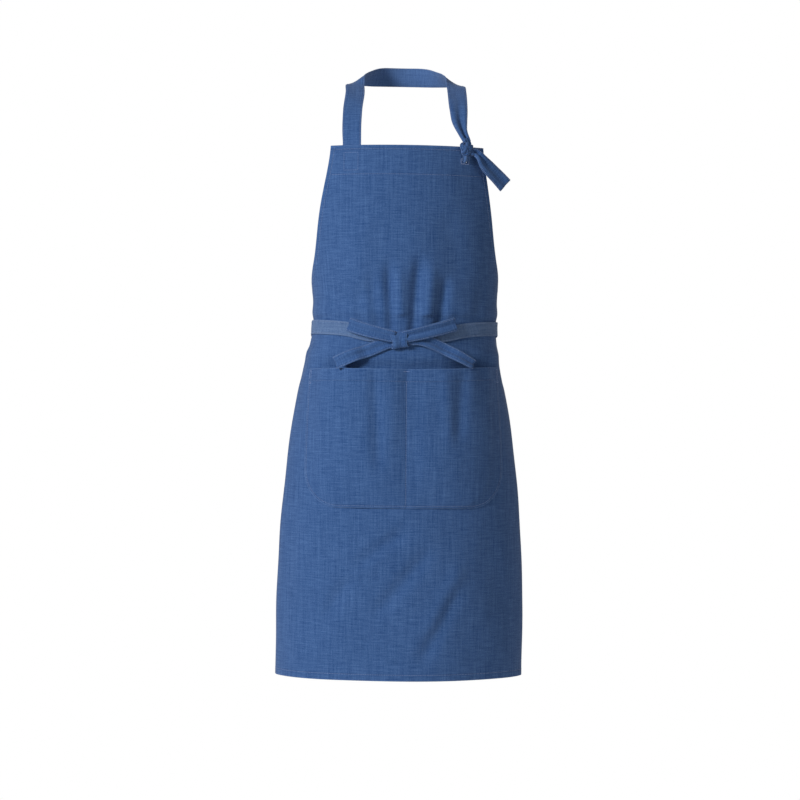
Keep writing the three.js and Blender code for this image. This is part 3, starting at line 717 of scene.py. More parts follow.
def stitch_tree():
    """Geometry nodes that lay thread stitches along a mesh's edges, standing on its "out" directions."""
    tree = bpy.data.node_groups.new("stitches", "GeometryNodeTree")
    sockets = tree.interface
    sockets.new_socket("Geometry", in_out="INPUT", socket_type="NodeSocketGeometry")
    for name in ("Spacing", "Stitch Length", "Thread", "Turn"):
        sockets.new_socket(name, in_out="INPUT", socket_type="NodeSocketFloat")
    sockets.new_socket("Seed", in_out="INPUT", socket_type="NodeSocketInt")
    sockets.new_socket("Material", in_out="INPUT", socket_type="NodeSocketMaterial")
    sockets.new_socket("Geometry", in_out="OUTPUT", socket_type="NodeSocketGeometry")
    given = node(tree, "NodeGroupInput").outputs
    path = node(tree, "GeometryNodeMeshToCurve", {"Mesh": given["Geometry"]})
    spaced = node(tree, "GeometryNodeResampleCurve", {"Curve": path.outputs[0], "Length": given["Spacing"]},
                  mode="LENGTH")
    ball = node(tree, "GeometryNodeMeshUVSphere", {"Segments": 6, "Rings": 4, "Radius": 0.5})
    size = node(tree, "ShaderNodeCombineXYZ", {0: given["Stitch Length"], 1: given["Thread"],
                                              2: given["Thread"]})
    stitch = node(tree, "GeometryNodeTransform", {"Geometry": ball.outputs["Mesh"],
                                                 "Scale": size.outputs[0]})
    smooth = node(tree, "GeometryNodeSetShadeSmooth", {"Geometry": stitch.outputs[0]})
    tangent = node(tree, "GeometryNodeInputTangent")
    standing = node(tree, "GeometryNodeInputNamedAttribute", {"Name": "out"}, data_type="FLOAT_VECTOR")
    lengthways = node(tree, "FunctionNodeAlignRotationToVector", {"Vector": tangent.outputs[0]}, axis="X")
    upright = node(tree, "FunctionNodeAlignRotationToVector",
                   {"Rotation": lengthways.outputs[0], "Vector": standing.outputs["Attribute"]},
                   axis="Z", pivot_axis="X")
    wander = node(tree, "FunctionNodeRandomValue", {2: -STITCH_WANDER, 3: STITCH_WANDER,
                                                   "Seed": given["Seed"]}, data_type="FLOAT")
    angle = node(tree, "ShaderNodeMath", {0: wander.outputs[1], 1: given["Turn"]}, operation="ADD")
    twist = node(tree, "ShaderNodeCombineXYZ", {2: angle.outputs[0]})
    turn = node(tree, "FunctionNodeEulerToRotation", {0: twist.outputs[0]})
    turned = node(tree, "FunctionNodeRotateRotation", {0: upright.outputs[0], 1: turn.outputs[0]},
                  rotation_space="LOCAL")
    laid = node(tree, "GeometryNodeInstanceOnPoints",
                {"Points": spaced.outputs[0], "Instance": smooth.outputs[0], "Rotation": turned.outputs[0]})
    solid = node(tree, "GeometryNodeRealizeInstances", {"Geometry": laid.outputs[0]})
    finished = node(tree, "GeometryNodeSetMaterial", {"Geometry": solid.outputs[0],
                                                     "Material": given["Material"]})
    node(tree, "NodeGroupOutput", {"Geometry": finished.outputs[0]})
    return tree


STITCHES = stitch_tree()


def stitched(name, runs, nodes=(), spacing=3.1, length=2.5, thread=0.6, turn=0.0):
    """One piece of stitches along runs of (places in mm, outward directions, closed)."""
    points = []
    outs = []
    edges = []
    for places, directions, closed in runs:
        first = len(points)
        count = len(places)
        points.extend(in_frame(np.asarray(places) + np.asarray(directions) * thread * 0.25).tolist())
        outs.extend(np.asarray(directions, float).tolist())
        edges.extend((first + i, first + i + 1) for i in range(count - 1))
        if closed:
            edges.append((first + count - 1, first))
    mesh = bpy.data.meshes.new(name + "_path")
    mesh.from_pydata(points, edges, [])
    mesh.attributes.new("out", "FLOAT_VECTOR", "POINT").data.foreach_set(
        "vector", np.array(outs, np.float32).ravel())
    path = linked(name + "_path", mesh)
    modifier = path.modifiers.new("stitches", "NODES")
    modifier.node_group = STITCHES
    values = {"Spacing": spacing * MM, "Stitch Length": length * MM, "Thread": thread * MM, "Turn": turn,
              "Seed": STITCH_SEED, "Material": THREAD}
    for item in STITCHES.interface.items_tree:
        if item.in_out == "INPUT" and item.name in values:
            modifier[item.identifier] = values[item.name]
    evaluated = path.evaluated_get(bpy.context.evaluated_depsgraph_get())
    result = bpy.data.meshes.new_from_object(evaluated)
    bpy.data.objects.remove(path)
    result.materials.clear()
    made = piece(name, result, THREAD)
    if nodes:
        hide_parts(*nodes)
    return made


def cloth_row(points, lift_of, closed=False):
    """A run of stitches through [arc, drop] points on cloth whose outer face has that lift."""
    arc, drop = np.asarray(points, float).T
    step = 0.6

    def spot(down, along):
        return place(drop + down, arc + along, lift_of(drop + down, arc + along))

    over = spot(0, step) - spot(0, -step)
    up = spot(-step, 0) - spot(step, 0)
    return spot(0, 0), unit(np.cross(over, up)), closed


def panel_face(drop, arc):
    return CLOTH + folds(drop, arc)


def pocket_face(drop, arc):
    return pocket_lift(drop, arc) + CLOTH + folds(drop, arc) + POCKET_HEM_THICK * (drop < POCKET_ROW)


def pocket_sewn(points, closed=False):
    arc, drop = np.asarray(points, float).T
    return cloth_row(np.stack([arc, drop + pocket_sag(drop, arc)], -1), pocket_face, closed)


# ---- the panel, facing and pocket

def edge_columns(half, count, close=(0, 0.9, 3.2, 6.2, SIDE_HEM, 9.8, 13)):
    """Arc positions over a width: close together by the two edges, then evenly spaced."""
    close = np.array(close, float)
    middle = np.linspace(-(half - close[-1]), half - close[-1], count)
    return np.concatenate([-half + close[:-1], middle, half - close[-2::-1]])


def flat_grid(rows, half_of, count, *close):
    """The drop and arc of each point of a flat piece, from its rows and its half-width at each."""
    arcs = np.array([edge_columns(float(half_of(drop)), count, *close) for drop in rows])
    return np.repeat(rows[:, None], arcs.shape[1], 1), arcs


def middles(values):
    return (values[:-1, :-1] + values[1:, 1:]) / 2


def outside_slit(drops, arcs):
    """The cells that are cloth, which leaves out those of the buttonhole's slit."""
    low = np.abs(middles(drops) - BUTTONHOLE_DROP) < SLIT / 2
    return ~(low & (np.abs(middles(arcs) - buttonhole_arc) < SLIT_WIDTH / 2))


def flat_area(rows, half_of):
    """Area in square metres between a flat piece's two sides."""
    return float(2 * np.sum((half_of(rows[1:]) + half_of(rows[:-1])) / 2 * np.diff(rows)) * MM * MM)


SLIT_ROWS = BUTTONHOLE_DROP + SLIT * np.array([-0.5, 0, 0.5])


def cloth_panel():
    steep = ARMHOLE_DROP * np.sin(np.radians(np.arange(62, 90.1, 2)))
    rows = np.concatenate([[0, 0.8, 3, 6, 7, 8, 11, 15.5, 20], SLIT_ROWS, np.arange(32, 262, 4.7), steep,
                           np.arange(304, LENGTH - 16, 4.9),
                           LENGTH - np.array([14.0, 12, HEM, 10, 6, 3, 0.9, 0])])
    drops, arcs = flat_grid(rows, panel_half, 121)
    above_hem = LENGTH - drops
    edge = panel_edge(drops, arcs)
    # The panel sinks in a little behind the pocket's mouth, which gapes.
    behind_mouth = hump(drops, MOUTH_HOLLOW_DROP, MOUTH_HOLLOW_REACH)
    behind_mouth = behind_mouth * (1 - smoothstep(*MOUTH_HOLLOW_SIDE, np.abs(arcs)))
    bend = folds(drops, arcs) - MOUTH_HOLLOW * behind_mouth
    # Below the facing the turned hem is on the inside, so it thickens the edges inwards.
    near_bottom = above_hem < HEM + 1
    turned = np.where(near_bottom, above_hem < HEM + 0.2, edge < SIDE_HEM + 0.2)
    turned = turned & (drops > FACING + 3)
    inner = place(drops, arcs, bend - 0.85 * turned)
    outer = place(drops, arcs, bend + CLOTH + 0.15 * turned)
    seam = np.minimum(np.abs(edge - SIDE_HEM), np.abs(drops - FACING_ROW))
    seam = np.minimum(seam, np.abs(drops - TOP_STITCH))
    seam = np.where(above_hem < 60, np.minimum(np.abs(above_hem - HEM), seam), seam)
    made = cloth_piece("apron_panel", inner, outer, np.stack([arcs, -drops], -1), CHAMBRAY,
                       keep=outside_slit(drops, arcs), edge=edge, seam=seam)
    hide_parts("bib_panel", "skirt_panel")
    return made, flat_area(rows, panel_half)


def cloth_facing():
    rows = np.concatenate([[0.4, 2, 6, 11, 16, 20], SLIT_ROWS, np.arange(32, FACING - 4, 4.6),
                           [FACING - 3, FACING - 1, FACING]])
    drops, arcs = flat_grid(rows, lambda drop: panel_half(drop) - CLOTH, 61)
    bend = folds(drops, arcs)
    inner = place(drops, arcs, bend - LAYER)
    outer = place(drops, arcs, bend - GAP)
    edge = np.minimum(panel_edge(drops, arcs), FACING - drops)
    made = cloth_piece("facing_cloth", inner, outer, np.stack([arcs, -drops], -1), FACING_CLOTH,
                       keep=outside_slit(drops, arcs), edge=edge, seam=np.abs(edge - HEM / 4))
    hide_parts("bib_facing")
    area = 2 * np.mean(panel_half(rows)) * FACING * MM * MM
    return made, float(area)


def cloth_pocket():
    hem_rows = [0, 0.9, 4, 9, 14, 19, POCKET_HEM - 1, POCKET_HEM, POCKET_HEM + 1.2]
    corner = POCKET_BEND + POCKET_CORNER * np.sin(np.radians(np.arange(4, 90.1, 4)))
    rows = np.concatenate([POCKET_DROP + np.array(hem_rows),
                           np.arange(POCKET_ROW + 5, POCKET_BEND, 4.8), [POCKET_BEND], corner])
    drops, arcs = flat_grid(rows, pocket_half, 79, (0, 0.9, 2.5, 4, 5.6, 9))
    low = drops + pocket_sag(drops, arcs)
    lift = pocket_lift(drops, arcs) + folds(low, arcs)
    inner = place(low, arcs, lift)
    outer = place(low, arcs, lift + CLOTH + POCKET_HEM_THICK * (drops < POCKET_ROW + 0.1))
    round_edge = pocket_edge(drops, arcs)
    seam = np.minimum(np.abs(round_edge - SIDE_HEM / 2), np.abs(drops - POCKET_ROW))
    made = cloth_piece("pocket_cloth", inner, outer, np.stack([arcs + POCKET_ALONG, -drops], -1), CHAMBRAY,
                       edge=np.minimum(round_edge, drops - POCKET_DROP), seam=np.minimum(seam, np.abs(arcs)))
    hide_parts("pocket_panel")
    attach(made, "skirt")
    return made, flat_area(rows, pocket_half)


buttonhole_arc = arc_to(BUTTONHOLE_DROP, NECK_KNOT_SPREAD)

panel, panel_area = cloth_panel()
facing, facing_area = cloth_facing()
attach(facing, "bib")
pocket, pocket_area = cloth_pocket()


# ---- panel stitching

def level_row(drop, steps=90):
    half = float(panel_half(drop)) - 1.6 * SIDE_HEM
    return [(arc, drop) for arc in np.linspace(-half, half, steps)]


def side_row(sign):
    """A row a hem's width inside the armhole, then round the corner and down the side."""
    wide = (WAIST_WIDTH - BIB_TOP_WIDTH) / 2 + SIDE_HEM
    high = ARMHOLE_DROP + SIDE_HEM
    first = math.asin(TOP_STITCH / 2 / high)
    last = math.acos(SIDE_HEM / wide)
    row = []
    for turn in np.linspace(first, last, 80):
        drop = high * math.sin(turn)
        row.append((WAIST_WIDTH / 2 - wide * math.cos(turn) + float(armhole_ease(drop)), drop))
    for drop in np.linspace(ARMHOLE_DROP + 2 * SIDE_HEM, LENGTH - HEM / 2, 110):
        row.append((float(panel_half(drop)) - SIDE_HEM, drop))
    return [(sign * arc, drop) for arc, drop in row]


edge_stitches = stitched("edge_stitches", [cloth_row(side_row(sign), panel_face) for sign in (-1, 1)],
                         ["armhole_thread_left", "armhole_thread_right", "side_thread_left",
                          "side_thread_right"])

strap_arc = -arc_to(STRAP_SEWN / 2, STRAP_SPREAD)


def box_row(arc, drop, width, height, steps=6):
    left, right = arc - width / 2, arc + width / 2
    top, bottom = drop - height / 2, drop + height / 2
    corners = [(left, top), (right, top), (right, bottom), (left, bottom), (left, top)]
    row = []
    for (x0, y0), (x1, y1) in zip(corners[:-1], corners[1:]):
        for share in np.arange(steps) / steps:
            row.append((mix(x0, x1, share), mix(y0, y1, share)))
    return row


strap_box = box_row(strap_arc, (TOP_STITCH + STRAP_SEWN) / 2 + 2, STRAP_WIDTH - 8,
                    STRAP_SEWN - TOP_STITCH - 8)
bib_stitches = stitched("bib_stitches", [cloth_row(level_row(TOP_STITCH), panel_face),
                                         cloth_row(level_row(FACING_ROW), panel_face),
                                         cloth_row(strap_box, panel_face, True)],
                        ["top_edge_thread", "facing_thread", "strap_box_thread"])
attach(bib_stitches, "bib")

buttonhole_row = box_row(buttonhole_arc, BUTTONHOLE_DROP, BUTTONHOLE_WIDTH + 1.6, BUTTONHOLE_HEIGHT + 1.6, 8)
buttonhole_stitches = stitched("buttonhole_stitches", [cloth_row(buttonhole_row, panel_face, True)],
                               ["buttonhole_thread"], spacing=0.62, length=2.4, thread=0.55,
                               turn=math.pi / 2)
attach(buttonhole_stitches, "bib")


def pocket_outline():
    inset = SIDE_HEM / 2
    half = POCKET_WIDTH / 2 - inset
    radius = POCKET_CORNER - inset
    right = [(half, drop) for drop in np.linspace(POCKET_ROW + 2 * TACK, POCKET_BEND, 40)]
    for turn in np.radians(np.arange(3, 91, 3)):
        right.append((half - radius + radius * math.cos(turn), POCKET_BEND + radius * math.sin(turn)))
    flat = [(arc, POCKET_BEND + radius) for arc in np.linspace(half - radius - 4, radius - half + 4, 60)]
    return [*right, *flat, *[(-arc, drop) for arc, drop in reversed(right)]]


row_half = POCKET_WIDTH / 2 - 2 * SIDE_HEM
hem_row = [(arc, POCKET_ROW) for arc in np.linspace(-row_half, row_half, 90)]
divider = [(0, drop) for drop in np.linspace(POCKET_ROW + 2, POCKET_DROP + POCKET_HEIGHT - SIDE_HEM, 60)]
skirt_stitches = stitched("skirt_stitches", [cloth_row(level_row(LENGTH - HEM, 200), panel_face),
                                             pocket_sewn(pocket_outline()), pocket_sewn(hem_row),
                                             pocket_sewn(divider)],
                          ["hem_thread", "pocket_seam_thread", "pocket_hem_thread", "pocket_divider_thread"])
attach(skirt_stitches, "skirt")

tack_runs = [pocket_sewn([(arc, POCKET_DROP + TACK) for arc in (-TACK, 0, TACK)])]
for sign in (-1, 1):
    tack_arc = sign * (POCKET_WIDTH / 2 - TACK)
    tack_drop = POCKET_DROP + POCKET_HEM / 2 + TACK
    tack_runs.append(pocket_sewn(box_row(tack_arc, tack_drop, TACK, POCKET_HEM), True))
pocket_tacks = stitched("pocket_tacks", tack_runs, ["pocket_tack_middle", "pocket_tack_left",
                                                    "pocket_tack_right"],
                        spacing=0.9, length=1.9, thread=0.5, turn=1.15)
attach(pocket_tacks, "skirt")


# ---- the neck strap

def station(at, out, width=STRAP_WIDTH, thick=STRAP_THICK):
    return [*at, *out, width, thick]


def fold_station(sign, along):
    at = [sign * HINGE[0], HINGE[1] + HINGE_LEAN[1] * along, HINGE[2] + HINGE_LEAN[2] * along]
    return station(at, (0, -HINGE_LEAN[2], HINGE_LEAN[1]))


def sewn_station(drop):
    arc = -arc_to(max(drop, 0), STRAP_SPREAD)
    lift = -LAYER - 2 * GAP - STRAP_THICK
    return station(place(drop, arc, lift), outward(drop, arc))


def strap_route():
    """From the sewn end behind the facing, over one shoulder, round the nape and down to the knot."""
    knot_top = NECK_KNOT[1] / 2 - NECK_KNOT_DROP + GAP - 4
    rear = [
        station((-HINGE[0] + 5, HINGE[1] + 30, HINGE[2] + 17), (-0.5, -0.1, 0.86)),
        station((-64, NAPE_DEPTH - 28, NAPE_RISE - 6), (-0.75, 0.3, 0.6)),
        station((-36, NAPE_DEPTH - 7, NAPE_RISE - 1), (-0.5, 0.83, 0.25)),
        station((-NAPE_FLAT, NAPE_DEPTH, NAPE_RISE), (0, 1, 0)),
    ]
    mirrored = [[-x, y, z, -a, b, c, w, t] for x, y, z, a, b, c, w, t in reversed(rear)]
    left = [sewn_station(STRAP_SEWN), sewn_station(STRAP_SEWN / 2), sewn_station(-4),
            station((-STRAP_SPREAD + 1, -85, 28), (-0.25, -0.9, 0.3)),
            station((-STRAP_SPREAD + 3, -71, 64), (-0.1, -0.8, 0.55)),
            fold_station(-1, -6), fold_station(-1, 6)]
    right = [fold_station(1, 6), fold_station(1, -6),
             station((HINGE[0], -72, 66), (0.1, -0.8, 0.55), 32),
             station((HINGE[0] + 1, -84, 44), (0.15, -0.85, 0.45), 27, 1.7),
             station((HINGE[0] + 5, -94, 26), (0.25, -0.9, 0.35), 18, 1.8),
             station((HINGE[0] + 13, -100.5, knot_top), (0.35, -0.93, 0.1), 13, 2)]
    return [*left, *rear, *mirrored, *right]


neck_strap, strap_rows, strap_length = ribbon("neck_strap_cloth", smooth_run(strap_route(), 3.4),
                                              flat_width=STRAP_WIDTH, pleats=1.5, crumple=0.25)
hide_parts("neck_strap", "strap_front_left", "strap_front_right")
# A row of stitching lies along each edge, over the strap's whole length.
strap_stitches = stitched("strap_stitches", strap_rows)

for over_shoulder in (neck_strap, strap_stitches):
    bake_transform(over_shoulder)


# ---- knots

knot_arc = arc_to(NECK_KNOT_DROP, NECK_KNOT_SPREAD)
knot_middle = CLOTH + NECK_KNOT_LIFT + NECK_KNOT[2] / 2
bow_arc = arc_to(BOW_DROP, abs(BOW_SPREAD)) * math.copysign(1, BOW_SPREAD)


def signed_power(value, power):
    return math.copysign(abs(value) ** power, value)


def wrap_stations(centre, right, up, out, tall, deep, width, thick, lean_angle=0.0, steps=40, bulge=2.6):
    """A strap wrapped once round a knot's core: stations round a rounded oval in the up-out plane."""
    turned_up = up * math.cos(lean_angle) + right * math.sin(lean_angle)
    rows = []
    for turn in np.linspace(0, 2 * math.pi, steps, endpoint=False):
        c, s = math.cos(turn), math.sin(turn)
        x = tall * signed_power(c, 2 / bulge)
        y = deep * signed_power(s, 2 / bulge)
        place_at = centre + turned_up * x + out * y
        normal_x = signed_power(c, 2 - 2 / bulge) / tall
        normal_y = signed_power(s, 2 - 2 / bulge) / deep
        normal = unit(turned_up * normal_x + out * normal_y)
        spread = width * (1 + 0.12 * math.sin(turn * 2 + 0.5))
        rows.append([*place_at, *normal, spread, thick])
    return rows


def axes_at(drop, arc):
    """Right along the cloth, up it and out of it, at one place."""
    out = outward(drop, arc)
    right = unit(np.array([-out[1], out[0], 0]))
    return right, np.cross(out, right), out


def joined(name, pieces):
    """Several pieces as one."""
    mesh = bpy.data.meshes.new(name)
    work = bmesh.new()
    for part in pieces:
        work.from_mesh(part.data)
    work.to_mesh(mesh)
    work.free()
    material = pieces[0].data.materials[0]
    for part in pieces:
        bpy.data.objects.remove(part)
    return piece(name, mesh, material)


def bow_knot():
    """The bow's middle: one turn of the tie drawn tight over the crossing, with creases down it."""
    right, up, out = axes_at(BOW_DROP, bow_arc)
    centre = place(BOW_DROP, bow_arc, BOW_KNOT_LIFT + BOW_KNOT[2] / 2)
    tall, deep = BOW_KNOT[1] / 2, BOW_KNOT[2] / 2
    turn = wrap_stations(centre, right, up, out, tall - 1.2, deep - 1, 28, 1.6, -0.16, bulge=2.2)
    outer_turn, _, _ = ribbon("bow_turn", turn, pleats=1.5, flat_width=30, ring=True, pleat_limit=1.0)
    core = wrap_stations(centre, right, up, out, tall - 4, deep - 3.0, 22, 3.0, 0.12, 30)
    inner_turn, _, _ = ribbon("bow_core", core, pleats=2.5, ring=True)
    made = joined("bow_knot_cloth", [outer_turn, inner_turn])
    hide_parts("bow_knot")
    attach(made, "skirt")


def neck_knot():
    """An overhand knot: the strap comes in at the top, round through itself, and out to the tail."""
    right, up, out = axes_at(NECK_KNOT_DROP, knot_arc)
    middle = place(NECK_KNOT_DROP, knot_arc, knot_middle)
    size, deep, width = 2.9, 2.3, 10.5
    turns = np.linspace(math.pi / 3 + 0.62, math.pi / 3 + 2 * math.pi - 0.5, 40)
    x = size * (np.sin(turns) + 2 * np.sin(2 * turns)) - 0.6
    y = size * 1.12 * (np.cos(turns) - 2 * np.cos(2 * turns)) + 0.4
    z = -deep * np.sin(3 * turns)
    across = [-1.2, 0.2, *x, x[-1] + 3.5, x[-1] + 7]
    rise = [19, 14, *y, y[-1] - 3.2, -6.5]
    depth = [0, 0.8, *z, 0.6, 1]
    rows = []
    for r, u, o in zip(across, rise, depth):
        outside = unit(out + 0.55 * unit(right * r + up * u))
        rows.append([*(middle + right * r + up * u + out * o), *outside, width, 2.4])
    knot, _, _ = ribbon("neck_knot_turns", smooth_run(rows, 1.3), pleats=2, flat_width=34, pleat_limit=1.0,
                        crumple=0.25)
    core = wrap_stations(middle, right, up, out, 9.5, 3.4, 13, 2.6, 0.5, 30)
    filling, _, _ = ribbon("neck_knot_core", core, pleats=1.5, flat_width=20, ring=True, pleat_limit=1.0)
    made = joined("neck_knot_cloth", [knot, filling])
    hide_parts("neck_knot")
    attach(made, "bib")


bow_knot()
neck_knot()


def strap_hook():
    """The strap's turn through the buttonhole, up behind the bib and back over its top edge."""
    bottom = NECK_KNOT_DROP + NECK_KNOT[1] / 2
    behind = -LAYER - GAP - CLOTH - HOOK_THICK
    turns = [(bottom - 3, knot_middle - 1), (BUTTONHOLE_DROP - 1, CLOTH + 2.6), (BUTTONHOLE_DROP, 0),
             (BUTTONHOLE_DROP - 1.5, behind + 0.6), (BUTTONHOLE_DROP - 6, behind), (10, behind - 0.4),
             (0, behind), (-4.5, behind + 1.2), (-6.5, -CLOTH), (-5, CLOTH + 1.2)]
    rows = []
    for drop, off in turns:
        # The strap bunches up where it fills the buttonhole.
        thick = SLIT + 0.3 if off == 0 else HOOK_THICK - 1
        rows.append([*place(drop, knot_arc, off), 0, 0, 0, HOOK_WIDTH, thick])
    run = smooth_run(rows, 1.6)
    along = unit(np.gradient(run[:, :3], axis=0))
    right = axes_at(0, knot_arc)[0]
    run[:, 3:6] = np.cross(np.broadcast_to(right, along.shape), along)
    made, _, length = ribbon("strap_hook_cloth", run, pleats=1.5, flat_width=HOOK_FLAT)
    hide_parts("strap_hook")
    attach(made, "bib")
    return made, length


hook, hook_length = strap_hook()


def strap_tail():
    right, _, out = axes_at(NECK_KNOT_DROP, knot_arc)
    root = place(NECK_KNOT_DROP + 6, knot_arc, knot_middle + 1)
    rows = [station(root + right * 7, out, 11, 1.8),
            station(root + right * (NECK_KNOT[0] / 2 + 3), out, 13, 1.8),
            station((126.5, -95, -15.5), (0.3, -0.9, 0.2), 15, 1.8),
            station((136, -91.5, -28), (0.3, -0.9, 0.25), 24, 1.6),
            station((147, -88, -39), (0.25, -0.9, 0.3), 28),
            station((160, -83, -51), (0.2, -0.9, 0.3), 29),
            station((175, -78, -66), (0.15, -0.95, 0.2), 29)]
    made, runs, length = ribbon("strap_tail_cloth", smooth_run(rows, 2.6), flat_width=TAIL_FLAT, pleats=1.5,
                                crumple=0.3)
    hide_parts("strap_tail")
    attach(made, "strap_tail")
    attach(stitched("strap_tail_stitches", runs), "strap_tail")
    return made, length


tail, tail_length = strap_tail()


# ---- the waist ties and the bow

bow_edge = BOW_KNOT[0] / 2 + 3 * GAP
# The loops and tails start inside the knot's turn, so that no end shows.
HIDDEN = 6


def waist_tie(side, sign, step):
    """From one back edge of the panel, across the back and round the other side to the bow."""
    around = 2 * half_round(TIE_ROOT_DROP)
    edge = float(panel_half(TIE_ROOT_DROP))
    passing = TIE_ROOT_DROP + TIE_WIDTH + 3.6
    knot_edge = BOW_KNOT[0] / 2 + GAP - sign * BOW_SPREAD
    rows = [
        (edge - TIE_OVERLAP, TIE_ROOT_DROP, TIE_LIFT),
        (edge + 3, TIE_ROOT_DROP, TIE_LIFT),
        (edge + 16, TIE_ROOT_DROP + 1, TIE_LIFT + step),
        (around / 2, (TIE_ROOT_DROP + passing) / 2, TIE_LIFT + step),
        (around - edge - 16, passing - 1, TIE_LIFT + step),
        (around - edge - 3, passing, TIE_LIFT + max(step, 0)),
        (around - edge + TIE_OVERLAP, passing - 2, TIE_LIFT),
        (around - (edge + around / 4) / 2, passing - 9, TIE_LIFT),
        (around - around / 4, TIE_ROOT_DROP + 7, TIE_LIFT),
        (around - 165, TIE_ROOT_DROP + 7, TIE_LIFT),
        (around - 110, TIE_ROOT_DROP + 11, TIE_LIFT),
        (around - 60, BOW_DROP - 10, TIE_LIFT),
        (around - knot_edge - 14, BOW_DROP - 7, TIE_LIFT + 0.4, TIE_WIDTH - 3),
        (around - knot_edge + HIDDEN, BOW_DROP - 6, TIE_LIFT + 0.9, TIE_WIDTH - 5),
    ]
    rows = [(sign * row[0], row[1], row[2], row[3] if len(row) > 3 else TIE_WIDTH) for row in rows]
    name = f"waist_tie_{side}_cloth"
    made, runs, length = ribbon(name, on_cloth(rows, 4.2), TIE_CLOTH, crumple=0.28)
    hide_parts(f"waist_tie_{side}")
    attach(made, "skirt")
    return made, runs, length


def bow_loop(side, sign, reach, rise):
    """The tie runs out along the front, folds back round its end and returns behind itself."""
    def layer(share, lift, turned):
        arc = bow_arc + sign * mix(bow_edge - HIDDEN, reach, share)
        drop = BOW_DROP - 5 - rise * share ** 1.2
        width = mix(TIE_WIDTH - 6, TIE_WIDTH - 1, math.sin(math.pi / 2 * share) ** 0.6)
        return [*place(drop, arc, lift), *(outward(drop, arc) * turned), width, TIE_THICK]

    def belly(share):
        return LOOP_FOLD * (1 + 0.9 * math.sin(math.pi * share) ** 1.2)

    shares = np.linspace(0, 1, 20)
    front = [layer(share, LOOP_LIFT + belly(share), 1) for share in shares]
    back = [layer(share, LOOP_LIFT - belly(share) * 0.85, -1) for share in shares[::-1]]
    end = np.array(layer(1, LOOP_LIFT, 1)[:3])
    along = unit(end - np.array(layer(0.95, LOOP_LIFT, 1)[:3]))
    normal = np.array(layer(1, LOOP_LIFT, 1)[3:6])
    bend = []
    for turn in np.linspace(0, math.pi, 9)[1:-1]:
        out = normal * math.cos(turn) + along * math.sin(turn)
        bend.append([*(end + out * LOOP_FOLD), *out, TIE_WIDTH - 1, TIE_THICK])
    made, runs, length = ribbon(f"bow_loop_{side}_cloth", [*front, *bend, *back], crumple=0.25)
    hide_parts(f"bow_loop_{side}")
    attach(made, f"bow_loop_{side}")
    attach(stitched(f"bow_loop_{side}_stitches", runs), f"bow_loop_{side}")
    return made, length


def bow_tail(side, sign, points):
    root = (bow_edge - HIDDEN, points[0][1], 6.0, TIE_WIDTH - 7)
    rows = [root, (bow_edge + 4, points[0][1], 5.8, TIE_WIDTH - 5), *points[1:]]
    rows = [(bow_arc + sign * out, BOW_DROP + drop, lift, width) for out, drop, lift, width in rows]
    made, runs, length = ribbon(f"bow_tail_{side}_cloth", on_cloth(rows, 3.4), crumple=0.3)
    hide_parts(f"bow_tail_{side}")
    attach(made, f"bow_tail_{side}")
    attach(stitched(f"bow_tail_{side}_stitches", runs), f"bow_tail_{side}")
    return made, length


tie_runs = []
for side, sign, step in (("left", -1, TIE_STEP), ("right", 1, -TIE_STEP)):
    tie, runs, length = waist_tie(side, sign, step)
    tie_runs += runs
tie_stitches = stitched("tie_stitches", tie_runs)
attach(tie_stitches, "skirt")

for side, sign, reach, rise in (("left", -1, 88, 22), ("right", 1, 96, 24)):
    loop, length = bow_loop(side, sign, reach, rise)

left_tail = [(0, 5), (32, 10, 5.8, 22), (50, 17.5, 5.8, 23), (58, 20.5, 6.2, 23), (73, 26.5, 14.5, 23),
             (84, 31, 17, 24), (109, 43, 18.5, 24)]
right_tail = [(0, -1), (37, -1, 6.4, 21), (56, 5, 6.5, 21), (78, 15, 6.4, 21), (101, 28, 16, 20),
              (128, 43, 18.5, 17)]
for side, sign, points in (("left", -1, left_tail), ("right", 1, right_tail)):
    strip, length = bow_tail(side, sign, points)

tie_face = TIE_LIFT + TIE_THICK / 2
root_runs = []
for sign in (-1, 1):
    root_arc = sign * (float(panel_half(TIE_ROOT_DROP)) - TIE_OVERLAP / 2)
    root_row = box_row(root_arc, TIE_ROOT_DROP, TIE_WIDTH - 7, TIE_WIDTH - 7)
    root_runs.append(cloth_row(root_row, lambda drop, arc: np.full(np.shape(drop), tie_face), True))
tie_tacks = stitched("tie_tacks", root_runs, ["tie_tack_left", "tie_tack_right"])
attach(tie_tacks, "skirt")

for bending in (panel, edge_stitches):
    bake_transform(bending)


# ---- floor, light and camera

def round_floor(radius=1.2, steps=96):
    height = BIB_TOP - LENGTH * MM - FLOOR_BELOW_HEM
    rim = [(radius * math.cos(t), radius * math.sin(t) + AXIS_DEPTH, height)
           for t in np.linspace(0, 2 * math.pi, steps, endpoint=False)]
    mesh = bpy.data.meshes.new("floor")
    mesh.from_pydata(rim, [], [list(range(steps))])
    piece("floor", mesh, studio_floor())


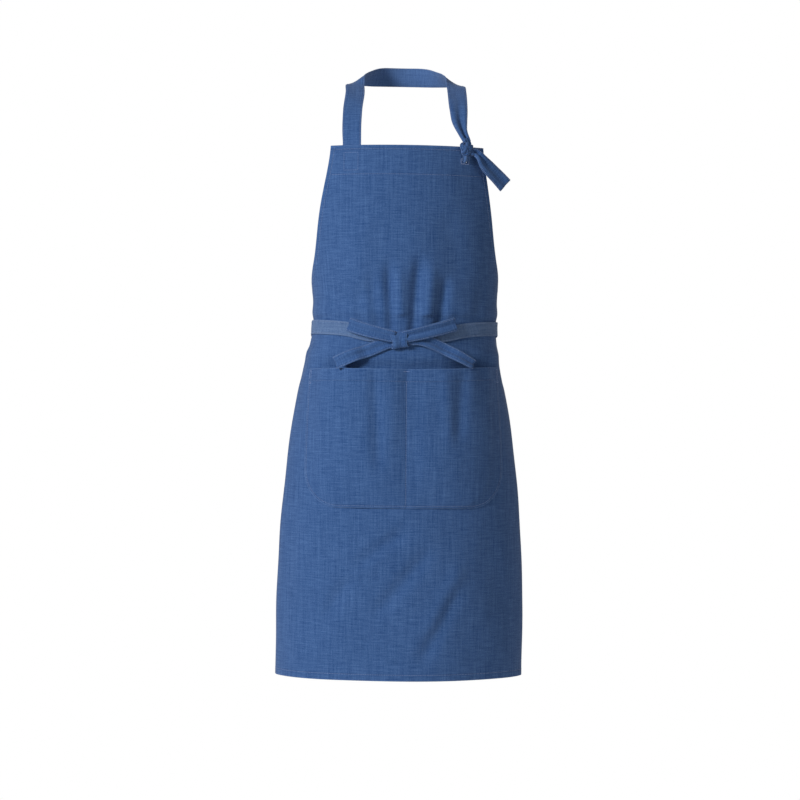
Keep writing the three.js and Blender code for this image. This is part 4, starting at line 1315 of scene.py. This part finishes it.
def area_light(name, at, aim, size, watts, colour):
    data = bpy.data.lights.new(name, "AREA")
    data.shape = "DISK"
    data.size = size
    data.energy = watts
    data.color = colour
    made = linked(name, data)
    made.location = at
    made.rotation_euler = (Vector(aim) - Vector(at)).to_track_quat("-Z", "Y").to_euler()


def studio():
    round_floor()
    middle = (0, AXIS_DEPTH, BIB_TOP - LENGTH / 2 * MM)
    area_light("key", (-3.3, -2.7, 0.9), middle, 1.4, 150, (0.95, 0.98, 1.0))
    area_light("fill", (2.9, -3.4, -0.2), middle, 2.4, 14, (1.0, 0.98, 0.95))
    area_light("rear", (0.8, 3.6, 1.2), middle, 2.4, 60, (1, 1, 1))
    world = bpy.data.worlds.new("studio")
    bpy.context.scene.world = world
    world.use_nodes = True
    tree = world.node_tree
    tree.nodes.clear()
    ambient = node(tree, "ShaderNodeBackground", {"Color": (1.0, 0.97, 0.93, 1), "Strength": 0.25})
    backdrop = node(tree, "ShaderNodeBackground", {"Color": (1, 1, 1, 1), "Strength": 1.0})
    seen = node(tree, "ShaderNodeLightPath").outputs["Is Camera Ray"]
    both = node(tree, "ShaderNodeMixShader", {0: seen, 1: ambient.outputs[0], 2: backdrop.outputs[0]})
    node(tree, "ShaderNodeOutputWorld", {"Surface": both.outputs[0]})
    bpy.context.scene.view_settings.view_transform = "Standard"


def camera(distance=4.5, swing=math.radians(4), view_width=1.44, aim_drop=448, aside=0.003,
           roll=math.radians(0.57)):
    forward = Vector((math.sin(swing), math.cos(swing), 0))
    right = Vector((math.cos(swing), -math.sin(swing), 0))
    up = Vector((0, 0, 1))
    aim = Vector((0, AXIS_DEPTH, BIB_TOP - aim_drop * MM))
    data = bpy.data.cameras.new("camera")
    data.sensor_width = 36
    data.lens = 36 * distance / view_width
    made = linked("camera", data)
    leaning_right = right * math.cos(roll) + up * math.sin(roll)
    leaning_up = up * math.cos(roll) - right * math.sin(roll)
    turn = Matrix((leaning_right, leaning_up, -forward)).transposed().to_4x4()
    made.matrix_world = Matrix.Translation(aim - forward * distance - right * aside) @ turn
    bpy.context.scene.camera = made


studio()
camera()
